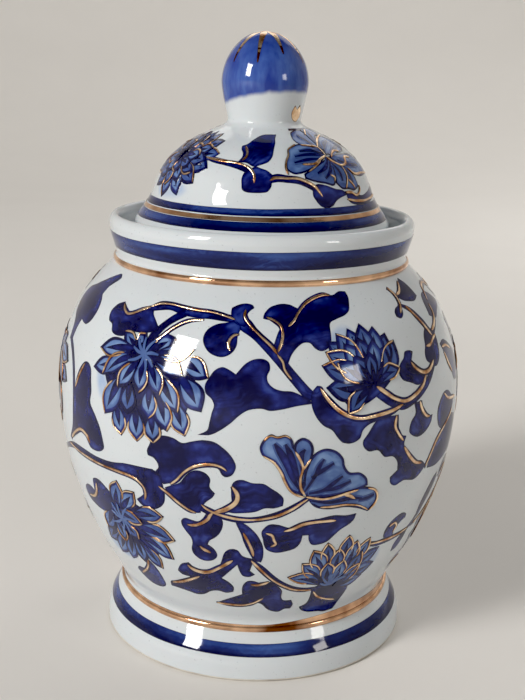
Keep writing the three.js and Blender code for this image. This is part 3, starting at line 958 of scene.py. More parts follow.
BELLY_GOLD = [
    (1.1, [(-48.5, 96.7), (-46.5, 95), (-44.5, 94.2), (-42.5, 94.7), (-40, 96), (-37, 97.5)]),
    (0.8, [(-37, 97.5), (-34, 98.8), (-30, 99.2), (-25, 98.8), (-20, 98.4), (-15, 98.2), (-10, 97.2),
           (-7.5, 96.5)]),
    (0.9, [(-17, 95.8), (-22, 95), (-26, 92.7), (-29, 90), (-31.5, 88)]),
    (0.9, [(-31.4, 88.1), (-29, 88.6), (-26, 89.4), (-24, 89.6)]),
    (1.0, [(-8, 88), (-8.7, 90), (-7.5, 92), (-5.8, 92.5)]),
    (1.0, [(-4.5, 99.5), (-4.6, 97.5), (-3, 95.3), (0, 92.5), (4, 89), (5, 87.5)]),
    (0.9, [(5, 87.5), (6.5, 85.5), (7, 83.5), (8.8, 81)]),
    (1.0, [(2, 97.5), (4.5, 96.5), (6.3, 95), (6.8, 93), (6.3, 90.5), (5.2, 88)]),
    (1.1, [(8.5, 94.8), (10.5, 96.5), (12, 98.5), (14.5, 101), (18, 102.8), (22, 103.7), (24.5, 103.5)]),
    (1.1, [(51, 103.5), (52.5, 101), (52.3, 98), (50, 95.3)]),
    (1.1, [(53.5, 100.7), (56, 101.3), (58.5, 103), (60, 104.5)]),
    (1.3, [(54.5, 97), (57, 93.5), (60, 89.5), (62, 86.8)]),
    (1.3, [(56.5, 84.7), (59, 84.7), (62, 86), (64.5, 86.7)]),
    (1.3, [(63, 88), (67, 89.5), (70, 92), (71, 95)]),
    (1.1, [(66.5, 82.5), (70, 82.3), (74, 80.5)]),
    (1.1, [(67, 81), (69, 77.5), (72, 74)]),
    (1.3, [(16.4, 78.6), (18.5, 75.5), (21.5, 72.5), (25, 70.5), (28, 69.8), (33, 70), (38, 70.5),
           (42, 71.5)]),
    (1.4, [(33, 77.6), (36, 75.5), (39, 73.5), (43, 72.2), (47, 73), (51, 75), (53, 77.5)]),
    (1.3, [(47, 82), (49, 79.8), (52, 78.3), (55, 78.3), (57.5, 79.7), (58.5, 80.5)]),
    (1.2, [(49, 71), (50, 68.5), (52, 66.3), (54, 65.7)]),
    (1.2, [(63, 70), (66, 68), (70, 67), (74, 66.5)]),
    (1.2, [(55, 50.5), (57, 53.5), (60, 57.5), (65, 60.5), (69, 62.5), (70.5, 64)]),
    (1.2, [(39.5, 69), (39, 66), (40.5, 63.5), (42.5, 61.3)]),
    (1.2, [(43, 59.5), (46, 56), (49, 53.5), (52.5, 52.3)]),
    (1.1, [(38, 29.5), (45, 29), (52, 29), (57, 29.5)]),
    (1.1, [(44.4, 33.8), (46.6, 34.6), (48.2, 33.2), (47.4, 31)]),
    (1.1, [(-60.5, 70), (-58.5, 74.5), (-56.5, 77.8)]),
    (1.3, [(-65, 54), (-61, 57), (-57, 58.8), (-54, 58), (-52.5, 56)]),
    (1.0, [(-68, 51.5), (-60, 51.3), (-50, 51), (-40, 50.9), (-36, 50.6), (-33.5, 49.8), (-31.8, 48.2),
           (-31.5, 46.5), (-32, 44.5)]),
    (1.0, [(-23.3, 51), (-21.5, 52.5), (-19.3, 55), (-17, 56.8), (-13.5, 58), (-10.5, 58.2),
           (-8.5, 57.5), (-7.6, 56.7)]),
    (1.0, [(-27, 49.8), (-24, 48), (-21, 45.7), (-18, 44), (-16.3, 43.5)]),
    (1.6, [(-6.3, 52.5), (-5, 50.5), (-4.8, 49), (-5.5, 47.5), (-8, 45.5), (-11.5, 44.2)]),
    (1.2, [(-11.5, 44.2), (-12.5, 43), (-13, 42), (-15, 40.3), (-17.5, 39.2), (-19.3, 39.2)]),
    (1.1, [(-14.7, 46.3), (-13, 45), (-10, 43.8), (-6, 42.9), (-2, 42.6), (2, 43), (6, 44), (10, 46),
           (12.5, 47.8), (14, 48.8)]),
    (1.5, [(-16.3, 32.3), (-15.2, 31.3), (-13, 30.3)]),
    (1.3, [(-3.3, 38.3), (-1.8, 35), (-0.7, 32), (-0.3, 30)]),
    (1.1, [(-1, 28.5), (2, 25), (6, 20.8), (10, 17.8), (14, 15.8), (18, 15), (20.5, 14.8)]),
    (1.3, [(8, 38.8), (10.5, 39.5), (13, 40.7), (16, 41.2), (20, 41.2), (23, 41)]),
    (1.2, [(3, 38.3), (4.8, 37.5), (5.5, 35.7), (6, 34.5), (4.5, 33.5)]),
    (1.6, [(-21.5, 24.3), (-20, 23), (-17.5, 22.3), (-14.5, 22.7), (-11, 24.8), (-6.5, 28.2)]),
    (1.3, [(-30, 14.7), (-26, 16), (-22, 18), (-18, 20.3)]),
    (1.3, [(-1, 18.7), (1, 18.5), (3, 19), (5, 20)]),
    (1.1, [(-14, 9), (-9, 8.7), (-4, 8.8), (0, 10), (3.5, 12.3)]),
    (1.1, [(21.5, 13.8), (24, 11), (28, 9), (33, 7.5)]),
    (1.2, [(-60, 37.5), (-56, 38.5), (-53.5, 41), (-52.5, 44)]),
    (1.2, [(-44.5, 14), (-41, 16.5), (-38.8, 18.8), (-37.3, 22)]),
]


# What fills the side of the jar, between the two painted faces.
SIDE_LEAVES = [
    [(65.6, 83.6), (69, 84.2), (73, 82.6), (77.4, 79), (79.4, 74.4), (77, 70.6), (73.6, 71.6), (71, 75.6),
     (68.4, 79)],
    [(86.6, 100), (90, 102), (94.4, 101.6), (98, 98.4), (97.4, 94.6), (93.6, 92.6), (91.6, 95.4),
     (88.6, 94.8), (86.4, 97)],
    [(81, 87.6), (82.6, 84), (81.4, 80.4), (84.6, 78.6), (87, 81.6), (87.4, 86), (85, 89.4)],
    [(69.4, 45.6), (72.4, 47.8), (77, 47.4), (80.6, 44), (83.6, 43.8), (82.4, 40), (78.4, 37.8),
     (74.6, 38.8), (72.4, 41.8), (69, 42.6)],
    [(85.6, 51.6), (88.6, 54.4), (93, 54), (94.4, 50.4), (91.6, 48.6), (89.4, 45.6), (86.4, 47.4)],
    [(60.4, 14.6), (63, 17.4), (66.4, 17), (69.6, 18.4), (72.4, 14.4), (70, 11), (66, 10.4), (62, 11.4)],
    [(80.6, 9.4), (82.4, 13.8), (86.6, 14.6), (90.4, 12.6), (95.4, 13), (97.4, 9.6), (92.6, 7), (86.4, 6.2)],
    [(97.4, 38.6), (99, 42.4), (103, 43.6), (108.6, 41.4), (111, 37.8), (106.8, 36.6), (104.4, 33.6),
     (100.6, 35)],
    [(103.6, 27.6), (106.6, 30.6), (110.6, 29.6), (114.6, 31.4), (117.4, 27.4), (114, 24), (109.6, 25),
     (106.4, 22.8)],
    [(102, 11.4), (104.4, 15.4), (108.6, 17.4), (113.6, 16.8), (116, 13.4), (111.4, 12.6), (108.6, 9.4),
     (104.6, 8.8)],
]
SIDE_STEMS = [
    [(59, 29.6, 1.6), (66, 31.4, 1.8), (73, 35.4, 1.8), (80, 41.6, 1.8), (86, 46.4, 1.8), (92, 48.2, 1.6),
     (101, 45.6, 1.4)],
    [(80.4, 18.6, 1.6), (78, 13.6, 1.8), (81.4, 9.6, 1.6)],
    [(71, 95, 1.6), (77, 99.4, 1.6), (84, 99.6, 1.6), (89, 97.4, 1.4)],
    [(92, 20.4, 1.4), (98, 22.6, 1.8), (103, 27.4, 1.8), (103.4, 34, 1.8), (99.6, 39.4, 1.8),
     (95, 44.6, 1.6), (92, 48.4, 1.4)],
    [(99.4, 23.4, 1.4), (104, 20.4, 1.6), (106.4, 16.4, 1.4)],
]
SIDE_GOLD = [
    (1.1, [(60, 29.9), (66, 31.8), (73, 35.9), (80, 42.1), (86, 46.8), (92, 48.5)]),
    (1.1, [(72, 95.8), (77, 99.8), (84, 100), (88.4, 97.8)]),
    (1.1, [(98.4, 22.8), (103.2, 27.4), (103.8, 34), (100, 39.6), (95.4, 44.8)]),
    (1.0, [(70.6, 44), (74.6, 45.2), (78.6, 42.8)]),
    (1.0, [(62, 13), (65.4, 14.8), (69, 14.4)]),
    (1.0, [(83, 10.4), (87, 12), (91.6, 10)]),
    (1.0, [(99.8, 38.4), (103, 40.6), (107, 39.2)]),
    (1.0, [(107, 26.6), (111, 27.4), (114.4, 28)]),
    (1.0, [(105.4, 11.6), (108.6, 14.6), (112.4, 14.6)]),
    (1.0, [(89.6, 98.4), (93, 99.4), (95.4, 96.4)]),
]

# Thin pale washes that spread beyond the blooms, with no outline of their own.
BELLY_WASHES = [
    [(-50.5, 77.5), (-49.6, 73), (-47.4, 69.6), (-44, 69), (-43, 74), (-46, 78)],
    [(-22, 76), (-17.5, 71.2), (-14, 72.6), (-12.4, 76.6), (-12.4, 80.6), (-16, 80)],
    [(18.6, 87.6), (20, 92.4), (23.4, 95), (27.2, 95.2), (29.6, 92.6), (25, 88)],
    [(-54, 30), (-57.4, 25), (-55.6, 20.6), (-50, 18.6), (-44, 19), (-42, 24), (-47, 30)],
    [(36, 25), (42, 29.4), (45.4, 25.4), (45, 20), (42, 16), (36, 15)],
]
LID_WASHES = [
    [(-46, 12.4), (-43, 9), (-36, 8.3), (-29, 9.2), (-25.6, 12), (-30, 15), (-40, 15)],
]

# A petal is (base, tip, width, bend, which sides carry gold: "l", "r", "lr" or "").
CHRYSANTHEMUM = [
    # the outermost ring, painted first
    ((-40.5, 71), (-38.4, 62.2), 5.0, 0.0, "lr"),
    ((-33.6, 71), (-33.0, 61.6), 5.4, 0.0, "lr"),
    ((-28.6, 70), (-27.8, 62.0), 5.0, 0.0, "lr"),
    ((-22.6, 75), (-18.8, 65.4), 5.2, 0.0, "lr"),
    ((-39.0, 79), (-44.6, 66.8), 6.4, 0.0, "r"),
    ((-21.8, 81), (-14.7, 72.2), 6.0, 0.05, ""),
    ((-40.0, 82.5), (-51.4, 78.0), 4.6, 0.04, ""),
    ((-23.5, 84.5), (-13.3, 80.8), 5.2, 0.08, "l"),
    # the second ring
    ((-36.2, 77), (-36.4, 68.4), 5.2, 0.0, ""),
    ((-29.8, 77), (-29.3, 68.4), 5.0, 0.0, "l"),
    ((-26.8, 76), (-23.8, 66.0), 5.0, 0.0, "l"),
    ((-28.0, 81), (-20.9, 71.2), 5.2, 0.0, "l"),
    ((-36.0, 85.8), (-42.4, 89.4), 3.4, 0.0, "r"),
    ((-37.0, 86.5), (-34.4, 90.0), 3.2, 0.0, "l"),
    ((-31.0, 86.0), (-24.6, 90.0), 4.0, 0.0, ""),
    ((-36.4, 85.6), (-50.4, 83.5), 4.9, -0.02, "l"),
    ((-30.4, 85.4), (-18.2, 87.6), 4.6, -0.04, "r"),
    # the inner ring, on top
    ((-35.0, 83.8), (-47.0, 77.0), 4.6, -0.10, "r"),
    ((-30.8, 84.4), (-20.5, 80.6), 4.8, 0.06, "l"),
    ((-34.4, 83.2), (-40.3, 74.8), 4.6, 0.0, "r"),
    ((-31.4, 83.2), (-26.4, 74.9), 4.4, 0.05, "l"),
    ((-33.0, 83.6), (-32.9, 74.6), 4.8, 0.0, "l"),
]
CHRYSANTHEMUM_HEART = (-33.2, 84.6, 2.6, 0.36)  # across, up, size and lift

LOTUS_BUD = [
    ((31.5, 78), (18.3, 78.6), 5.6, 0.06, ""),
    ((31.0, 78), (17.4, 84.2), 5.8, -0.06, "r"),
    ((33.5, 79), (42.0, 88.6), 6.0, -0.08, "l"),
    ((31.0, 80), (19.6, 90.2), 5.4, -0.02, ""),
    ((33.0, 80), (39.4, 90.8), 6.0, -0.05, ""),
    ((32.0, 80), (22.8, 92.2), 5.8, 0.04, "r"),
    ((32.6, 80), (35.6, 93.0), 6.0, -0.03, ""),
    ((32.0, 80), (26.8, 93.2), 5.8, 0.03, ""),
    ((32.0, 80), (31.2, 94.2), 6.2, 0.0, ""),
    ((33.0, 77.6), (42.0, 81.3), 4.4, 0.12, "lr"),
    ((31.0, 79), (18.8, 87.6), 5.4, -0.06, "lr"),
    ((31.6, 79), (24.6, 89.4), 5.2, 0.0, ""),
    ((33.0, 79), (38.0, 87.4), 5.0, -0.04, ""),
    ((32.2, 79), (29.4, 90.6), 5.0, 0.0, ""),
    ((32.6, 79), (34.2, 89.6), 4.8, -0.02, ""),
    ((31.4, 78.4), (21.8, 84.6), 4.8, 0.0, "l"),
    ((31.8, 78.4), (27.0, 86.0), 4.2, 0.0, ""),
    ((32.4, 78.4), (32.0, 86.6), 4.0, 0.0, ""),
    ((31.4, 77.4), (24.0, 71.6), 4.6, -0.10, "lr"),
]

LEFT_BLOOM = [
    ((-44.5, 33), (-55.6, 24.0), 5.4, 0.0, ""),
    ((-43.5, 31), (-51.4, 20.2), 5.2, 0.0, ""),
    ((-41.5, 30), (-45.6, 19.8), 4.8, 0.0, ""),
    ((-39.5, 30), (-39.0, 20.4), 4.8, 0.0, ""),
    ((-37.6, 29), (-31.8, 20.2), 5.0, 0.0, "l"),
    ((-47.0, 37), (-53.6, 28.6), 5.2, 0.0, "r"),
    ((-44.6, 38), (-42.0, 47.6), 5.4, 0.0, "lr"),
    ((-42.6, 38.4), (-35.8, 45.8), 4.8, 0.0, "lr"),
    ((-38.6, 38.2), (-26.8, 40.2), 5.0, 0.04, "lr"),
    ((-37.8, 34.2), (-24.3, 32.6), 5.8, 0.06, "lr"),
    ((-37.0, 31.4), (-26.2, 25.4), 5.4, 0.10, "l"),
    ((-45.8, 35.0), (-45.0, 26.6), 4.6, 0.0, "lr"),
    ((-42.0, 34.0), (-38.0, 29.4), 4.0, 0.0, "l"),
    ((-46.0, 37.2), (-34.8, 35.8), 4.2, 0.06, "lr"),
]
LEFT_BLOOM_HEART = (-43.0, 35.2, 2.8, 0.27)

LOTUS = [
    ((31.0, 19), (43.0, 27.0), 5.4, 0.0, ""),
    ((31.0, 17), (43.6, 21.0), 5.4, 0.0, ""),
    ((29.0, 15), (40.6, 16.6), 4.8, -0.05, ""),
    ((33.0, 22), (37.2, 32.0), 4.4, 0.0, "lr"),
    ((28.6, 24), (28.8, 34.8), 4.6, 0.0, "lr"),
    ((24.0, 22), (22.0, 33.3), 4.4, 0.0, "lr"),
    ((30.0, 21), (32.2, 32.2), 5.0, -0.04, "lr"),
    ((22.6, 20), (17.8, 31.2), 5.4, -0.05, "lr"),
    ((26.8, 20), (26.5, 30.6), 4.8, 0.0, "lr"),
    ((23.0, 17), (14.9, 26.6), 4.8, -0.06, "lr"),
    ((31.0, 17), (35.6, 27.6), 5.0, -0.04, "r"),
    ((24.6, 16), (11.0, 21.6), 4.4, -0.10, "lr"),
    ((29.0, 15), (36.6, 22.8), 5.0, -0.06, "lr"),
    ((25.4, 16.4), (23.4, 26.0), 4.8, 0.0, "lr"),
    ((27.4, 16.4), (29.2, 25.9), 4.8, -0.04, "lr"),
]
LOTUS_HEART = (27.4, 16.2, 3.0, 0.28)
LOTUS_SPAN = 150.0  # degrees that the arms of its heart fan out over
HEART_ARMS = 9

# Where the two blooms at the side stand: how far a mirrored bloom is moved across and up.
SIDE_CHRYSANTHEMUM = (-119.4, -8.2)
SIDE_LOTUS = (108.0, 3.0)

# The fan-shaped bloom in the middle: its pale lobes, each with a dark rim, and its veins and gold ribs.
FAN_LOBES = [
    [(13.2, 49.6), (16, 46.2), (20, 45), (25, 45), (29, 44), (33, 42.2), (35.2, 44.6), (35.4, 46.8),
     (34.2, 49), (31.6, 50.1), (28, 50.6), (22, 49.8), (16, 49)],
    [(13.4, 49.4), (20, 49), (27, 49.6), (31.4, 50.6), (30.8, 52.8), (28.4, 54.8), (25.2, 55.4), (23.6, 57.4),
     (23, 59.6), (21, 61.8), (18, 62.8), (15.4, 62), (13.6, 60), (12.2, 57.4), (12.4, 53)],
    [(12.4, 50), (11.4, 55), (12, 58), (10.8, 60.6), (9.4, 62.6), (9.8, 65), (11.6, 66.1), (13.6, 65.2),
     (14.6, 63.2), (14.4, 60.6), (13.2, 56.6), (12.8, 52)],
    [(12.6, 49.8), (9, 51.6), (7.4, 54.2), (6.4, 56.6), (4.4, 59.6), (1.5, 61.4), (0.7, 63.6), (1.5, 65.6),
     (3.5, 67.2), (5.2, 66.6), (7.2, 67), (8.8, 66), (9.6, 63.6), (10.8, 60.6), (11.8, 57.4), (11.4, 53)],
]
FAN_VEINS = [
    [(12.6, 50.6, 0.4), (15.4, 55.4, 1.0), (16.4, 58, 1.2), (17.6, 60, 0.5)],
    [(14.4, 55, 0.6), (17, 56.6, 1.3), (20.4, 58.6, 0.6)],
    [(14, 50.4, 0.6), (18, 51, 1.1), (20.4, 52.6, 1.3), (23.2, 54.6, 0.6)],
    [(18, 50.8, 0.5), (22, 51.4, 1.3), (25.8, 52.8, 0.6)],
    [(29, 46.6, 0.6), (32, 46.8, 1.0), (34, 47.4, 0.6)],
    [(11.2, 52, 0.6), (9.4, 55.4, 1.6), (8, 59, 2.2), (5.6, 63, 1.6), (4.4, 64.8, 0.5)],
    [(11.4, 53.6, 0.5), (10, 57.4, 1.6), (8.6, 61.6, 1.8), (7.2, 64.6, 0.6)],
    [(12, 58.6, 0.5), (11.4, 61.6, 1.6), (12.4, 63, 0.5)],
    [(15, 48.2, 0.5), (20, 47.2, 1.0), (26, 47.6, 1.2), (30, 47, 0.5)],
]
FAN_GOLD = [
    (0.9, [(1.5, 61.5), (4.5, 59.5), (6.5, 56.5), (7.5, 54), (9, 51.5), (11, 50), (13, 49.5)]),
    (1.0, [(9.8, 62.5), (11, 60.5), (12, 58), (11.5, 55), (11.8, 52), (13, 50)]),
    (0.8, [(14, 60.2), (13, 58.8), (12, 57.2)]),
    (1.0, [(13.2, 49.5), (18, 48.4), (22, 48.7), (25, 49.3), (28.5, 49.8)]),
    (1.2, [(24, 49), (26, 48.4), (27.8, 47.2)]),
    (0.9, [(31.5, 49.8), (34, 48.8), (35.3, 46.8), (35, 44.5), (33.2, 42.6)]),
    (0.8, [(32.8, 42.8), (31, 44), (29, 45), (25, 45.8), (21, 45.8), (17.5, 46)]),
    (0.7, [(1.7, 65.4), (3.3, 66.8), (5.2, 66.4), (7.2, 66.8), (8.6, 66)]),
]

# Lid, unrolled at the brim: (across, up) as before.
LID_LEAVES = [
    [(-10.3, 28), (-8, 29), (-6, 31), (-3, 33), (0, 34), (4, 34.2), (8, 34.2), (6.5, 32), (6, 30),
     (4.7, 27), (3.7, 24), (2, 22), (-1, 20.8), (-3.5, 20.2), (-6.4, 21.4), (-10, 21.4), (-8.6, 23.5),
     (-8.8, 25), (-10, 26.5)],
    [(-6.5, 18.3), (-7.2, 16.5), (-7, 14.8), (-6.7, 13.5), (-5.5, 12.8), (-3, 12.6), (0, 12.7),
     (1.5, 13), (2.8, 14.5), (3, 16.5), (3.2, 17.8), (1.5, 19), (-1, 19.8), (-2.8, 20.3), (-4.6, 19.4)],
    [(16.5, 12), (17, 14), (18.6, 15), (22, 14.6), (26, 13.4), (29, 12.9), (31, 11.6), (27, 10.8),
     (25, 10), (23.5, 8.9), (21, 8.3), (19, 8.8), (17.5, 10.3)],
    [(30, 12.6), (35, 11.8), (39, 10.8), (45, 11.4), (52, 12.4), (56, 11), (50, 9.4), (44, 8.4),
     (36, 8.2), (31, 9.6)],
    [(19.6, 36.4), (22, 38.4), (28, 39.2), (34, 38.8), (37.4, 37.2), (30, 36.6)],
]
LID_STEMS = [
    [(-25, 22.8, 1.4), (-19, 21.8, 2.0), (-15, 21.3, 2.0), (-10, 20.6, 2.4), (-6, 19.4, 2.4),
     (-4, 18, 2.0), (-3, 15.6, 1.2)],
    [(2.2, 16.4, 2.2), (5, 16.9, 2.4), (8, 16.6, 2.2), (12, 16.2, 2.2), (15, 15.2, 2.2),
     (17.6, 13.8, 2.0), (20, 11.8, 1.2)],
]
LID_GOLD = [
    (1.1, [(-24.5, 22.6), (-19, 22), (-15, 21.7), (-10, 21.3), (-6, 20.3), (-4, 19), (-3, 17.5),
           (-2.8, 15.3)]),
    (1.5, [(-8.7, 28), (-7.6, 26.6), (-6.8, 25), (-7, 23.4), (-8.4, 22.2)]),
    (1.2, [(2.3, 16.2), (4, 16.9), (8, 16.8), (12, 16.7), (15, 15.8), (17.5, 14.5), (19, 12.8),
           (19.9, 11.5)]),
    (0.9, [(8.7, 17.8), (8.2, 20), (9, 22.5), (10.4, 24.5), (11, 26.5), (13, 27.7), (16, 28.9)]),
    (1.0, [(28, 23.6), (27.2, 27.2), (22, 28.2), (18.8, 28.6)]),
    (1.0, [(27.4, 27.2), (30, 29), (33, 30.6), (38, 32), (45, 33)]),
    (0.9, [(29, 33.6), (32, 35), (36, 36.6)]),
    (1.0, [(28, 23.8), (24, 22.6), (20.4, 21.2), (15, 21)]),
    (0.9, [(24, 22.4), (20, 20.2), (16.4, 18.6)]),
    (1.1, [(28, 23.4), (29.5, 21.8), (33, 20.1), (37, 20.6), (40, 22.6), (45, 22.4)]),
    (1.0, [(33, 20.1), (33.2, 17), (32, 14.8), (30.6, 13.2)]),
    (0.9, [(33.2, 15.8), (35, 14.2), (35.8, 13)]),
    (0.9, [(36, 19), (38, 17.4), (40, 16.9), (45, 16.9), (52, 16.4)]),
    (1.0, [(25, 17.4), (26.6, 16.6), (26, 15.4)]),
    (1.0, [(30, 12.2), (33, 12), (35, 11.1), (37, 11.4), (38.6, 12.6), (39, 13.6)]),
    (1.0, [(30, 10.3), (34, 9.6), (39, 9.2), (45, 9.4), (52, 9.8)]),
    (0.9, [(40, 25), (36, 25.4), (33, 24.4), (30.6, 23)]),
]
LID_FAN_SIDE = 7  # a gold line that starts to the right of this lies on the fan-shaped bloom
LID_FAN_LOBES = [
    [(28, 24), (24, 27.4), (19, 28.6), (17, 31.4), (18.6, 34.8), (24, 36.4), (30, 36.8), (31, 33),
     (29.4, 28)],
    [(28, 23.6), (24, 28.2), (19, 29.2), (13.6, 28.2), (10.8, 26.6), (10, 24.4), (8.6, 22), (8.6, 19.4),
     (10.8, 18), (14, 18.2), (20, 20)],
    [(28, 23), (20, 20.4), (14.6, 18), (14.6, 16.6), (18, 15.6), (22, 15), (25.6, 14.4), (27.6, 17),
     (28.6, 20)],
    [(28.4, 23), (27.6, 19), (26.6, 15), (29, 13.2), (32, 13), (35, 12.4), (38.6, 13.4), (38, 16.6),
     (34.6, 19.6), (31, 21.4)],
    [(29, 23.4), (33, 20.4), (38, 17.2), (44, 16), (50, 16.8), (53, 20), (50, 23), (43, 24), (36, 24.2)],
    [(28.8, 24), (36, 24.6), (44, 24.8), (50, 26.6), (50, 30), (44, 32.4), (37, 32), (31.4, 29)],
    [(28.6, 25), (31, 29.4), (37, 32.6), (44, 33.6), (46, 36.4), (38, 37.6), (31, 36.6), (29, 31)],
]
LID_FAN_VEINS = [
    [(27.6, 23.6, 0.6), (23, 24.4, 1.3), (18, 24.4, 1.1), (13, 23.8, 0.5)],
    [(27.4, 24.6, 0.6), (22, 26, 1.3), (16, 25.8, 0.6)],
    [(24, 22.8, 0.5), (18, 22.6, 1.1), (12, 21.6, 0.5)],
    [(27.6, 22.4, 0.6), (24.4, 19.8, 1.3), (20, 18, 0.6)],
    [(27.8, 21.4, 0.5), (26, 18.8, 1.2), (22.6, 16.4, 0.6)],
    [(28.4, 21, 0.5), (30, 18.4, 1.3), (30, 15.4, 0.6)],
    [(31, 21, 0.5), (34.6, 17.6, 1.2), (35.4, 14.6, 0.6)],
    [(33, 21.8, 0.5), (39, 20, 1.4), (46, 19.4, 0.6)],
    [(31, 24, 0.5), (38, 26, 1.4), (46, 27.4, 0.6)],
    [(30, 26, 0.5), (35, 28.6, 1.3), (42, 30, 0.6)],
    [(29, 27, 0.5), (31.4, 31.6, 1.4), (35, 35, 0.6)],
    [(28, 26, 0.5), (25, 30, 1.4), (22, 33.6, 0.6)],
]
LID_ROSE_CENTRE = (-37.5, 22.5)
LID_ROSE_REACH = 12.5
LID_ROSE_RINGS = ((1.0, 14, 0.3), (0.76, 12, 0.25), (0.52, 9, 0.05))  # share of reach, petals, turn


def paint_petals(dark, pale, gold, petals, shade, ground=0.62):
    """Paints petals one over the other: a dark petal, a pale band inside its edge, a dark heart that runs
    back to its base, and gold on its sides. They lie on a dark ground that reaches along them by a share.
    shade is the tone of the pale bands."""
    reach = np.array([np.array(base) + (np.array(tip) - np.array(base)) * ground for base, tip, *_ in petals])
    dark.film(brush_curve(hull_of(reach), EDGE_SPACING, closed=True), PETAL_LIFT - 0.008)
    for number, (base, tip, width, bend, gold_sides) in enumerate(petals):
        level = PETAL_LIFT + PETAL_STEP * number
        base, tip = np.array(base, float), np.array(tip, float)
        length = np.linalg.norm(tip - base)
        dark.film(petal_outline(base, tip, width, 0.3, bend), level)
        pale_tip = base + (tip - base) * (1 - 0.55 / length)
        tone = shade + 0.09 * (number % 4)
        pale.film(petal_outline(base, pale_tip, width, -0.5, bend), level + 0.006, tone)
        heart_tip = base + (tip - base) * (1 - 2.0 / length)
        dark.film(petal_outline(base, heart_tip, width * 0.40, 0.0, bend, 1.3), level + 0.012, 0.06)
        for side in gold_sides:
            start = 0.35 if len(gold_sides) == 1 else 0.5
            gold.line(petal_side(base, tip, width, side, start, bend), 0.8, level + 0.02)


def rose_petals(centre, wall, reach, rings):
    """Rings of pointed petals round a centre, kept round on a wall that narrows upwards."""
    stretch = wall.radius / wall.radius_at(centre[1])
    petals = []
    for ring, (share, count, start) in enumerate(rings):
        for step in range(count):
            angle = 2 * math.pi * (step + start + 0.5 * ring) / count
            way = np.array([math.cos(angle) * stretch, math.sin(angle)])
            length = reach * share * (1 + 0.06 * math.sin(3 * angle + ring))
            base = np.array(centre) + way * length * 0.22
            tip = np.array(centre) + way * length
            width = 2 * math.pi * reach * share / count * 0.92
            petals.append((base, tip, width, 0.0, ("l", "", "r", "")[step % 4]))
    return petals


def mirrored(petals, across, up):
    """A bloom's petals mirrored left to right and shifted."""
    swap = {"l": "r", "r": "l", "lr": "lr", "": ""}
    return [
        ((across - base[0], base[1] + up), (across - tip[0], tip[1] + up), width, -bend, swap[gold_sides])
        for base, tip, width, bend, gold_sides in petals
    ]


def mirrored_heart(heart, across, up):
    """The heart that belongs to a bloom moved by the same numbers."""
    return across - heart[0], heart[1] + up, *heart[2:]


def paint_heart(pale, heart, span=360.0):
    """The pale star in the middle of a bloom, whose thin bowed arms run out between the petals. Over a span
    under a full turn, it is a fan that opens upwards."""
    across, up, size, lift = heart
    for arm in range(HEART_ARMS):
        angle = math.radians(90 + span * ((arm + 0.5) / HEART_ARMS - 0.5)) + 0.16 * math.sin(5 * arm)
        reach = size * (2.1 if arm % 2 else 1.6) * (1 + 0.2 * math.sin(3 * arm + 1))
        stroke = []
        for share, width, bow in ((0.0, 0.55, 0.0), (0.5, 0.85, 0.16), (1.0, 0.45, 0.0)):
            way = angle + bow
            place = (across + reach * share * math.cos(way), up + reach * share * math.sin(way))
            stroke.append((*place, width))
        pale.film(ribbon(stroke), lift + 0.003 * arm, 0.3)


def paint_fan(dark, pale, lobes, step, rim, shade):
    """A fan-shaped bloom's pale lobes, one over the other, each with a dark rim."""
    for number, lobe in enumerate(lobes):
        level = PETAL_LIFT + step * number
        outline = leaf_outline(lobe)
        dark.film(outline, level)
        pale.film(inset(outline, rim), level + 0.01, shade)


def paint_veins(dark, pale, veins, lift):
    """Dark veins, each on a broader and paler stroke that softens it."""
    for number, points in enumerate(veins):
        broad = [(across, up, width + 0.9) for across, up, width in points]
        pale.film(ribbon(broad), lift + 0.001 * number, -0.25)
        dark.film(ribbon(points), lift + 0.02 + 0.0005 * number, 0.1)


def paint_gold_lines(dark, gold, lines):
    """Gold lines, each on a dark stroke that shows on both sides of it."""
    for number, (width, points) in enumerate(lines):
        stroke = [(across, up, width + 2 * GOLD_RIM) for across, up in points]
        stroke[0] = (*points[0], width * 0.6)
        stroke[-1] = (*points[-1], width * 0.6)
        dark.film(ribbon(stroke), GOLD_GROUND_LIFT + 0.0003 * number)
        gold.line(points, width, GOLD_LIFT)


def paint_layers(wall, turn, seed):
    """The layers of painting on half a wall: dark leaves, dark petals, pale petals, gold and pale washes."""
    return [Painting(wall, turn, seed + number) for number in range(5)]


def make_layers(layers, place, side):
    """Turns the layers into pieces, named after their place and side."""
    dark, petals_dark, pale, gold, wash = layers
    dark.make(place + "_leaves_" + side, COBALT, "cobalt_dark")
    petals_dark.make(place + "_petal_rims_" + side, COBALT, "cobalt_dark")
    pale.make(place + "_petals_" + side, PALE_COBALT, "cobalt_pale")
    gold.make(place + "_gold_" + side, GILDING, "gilding")
    wash.make(place + "_washes_" + side, COBALT_WASH, "cobalt_pale")


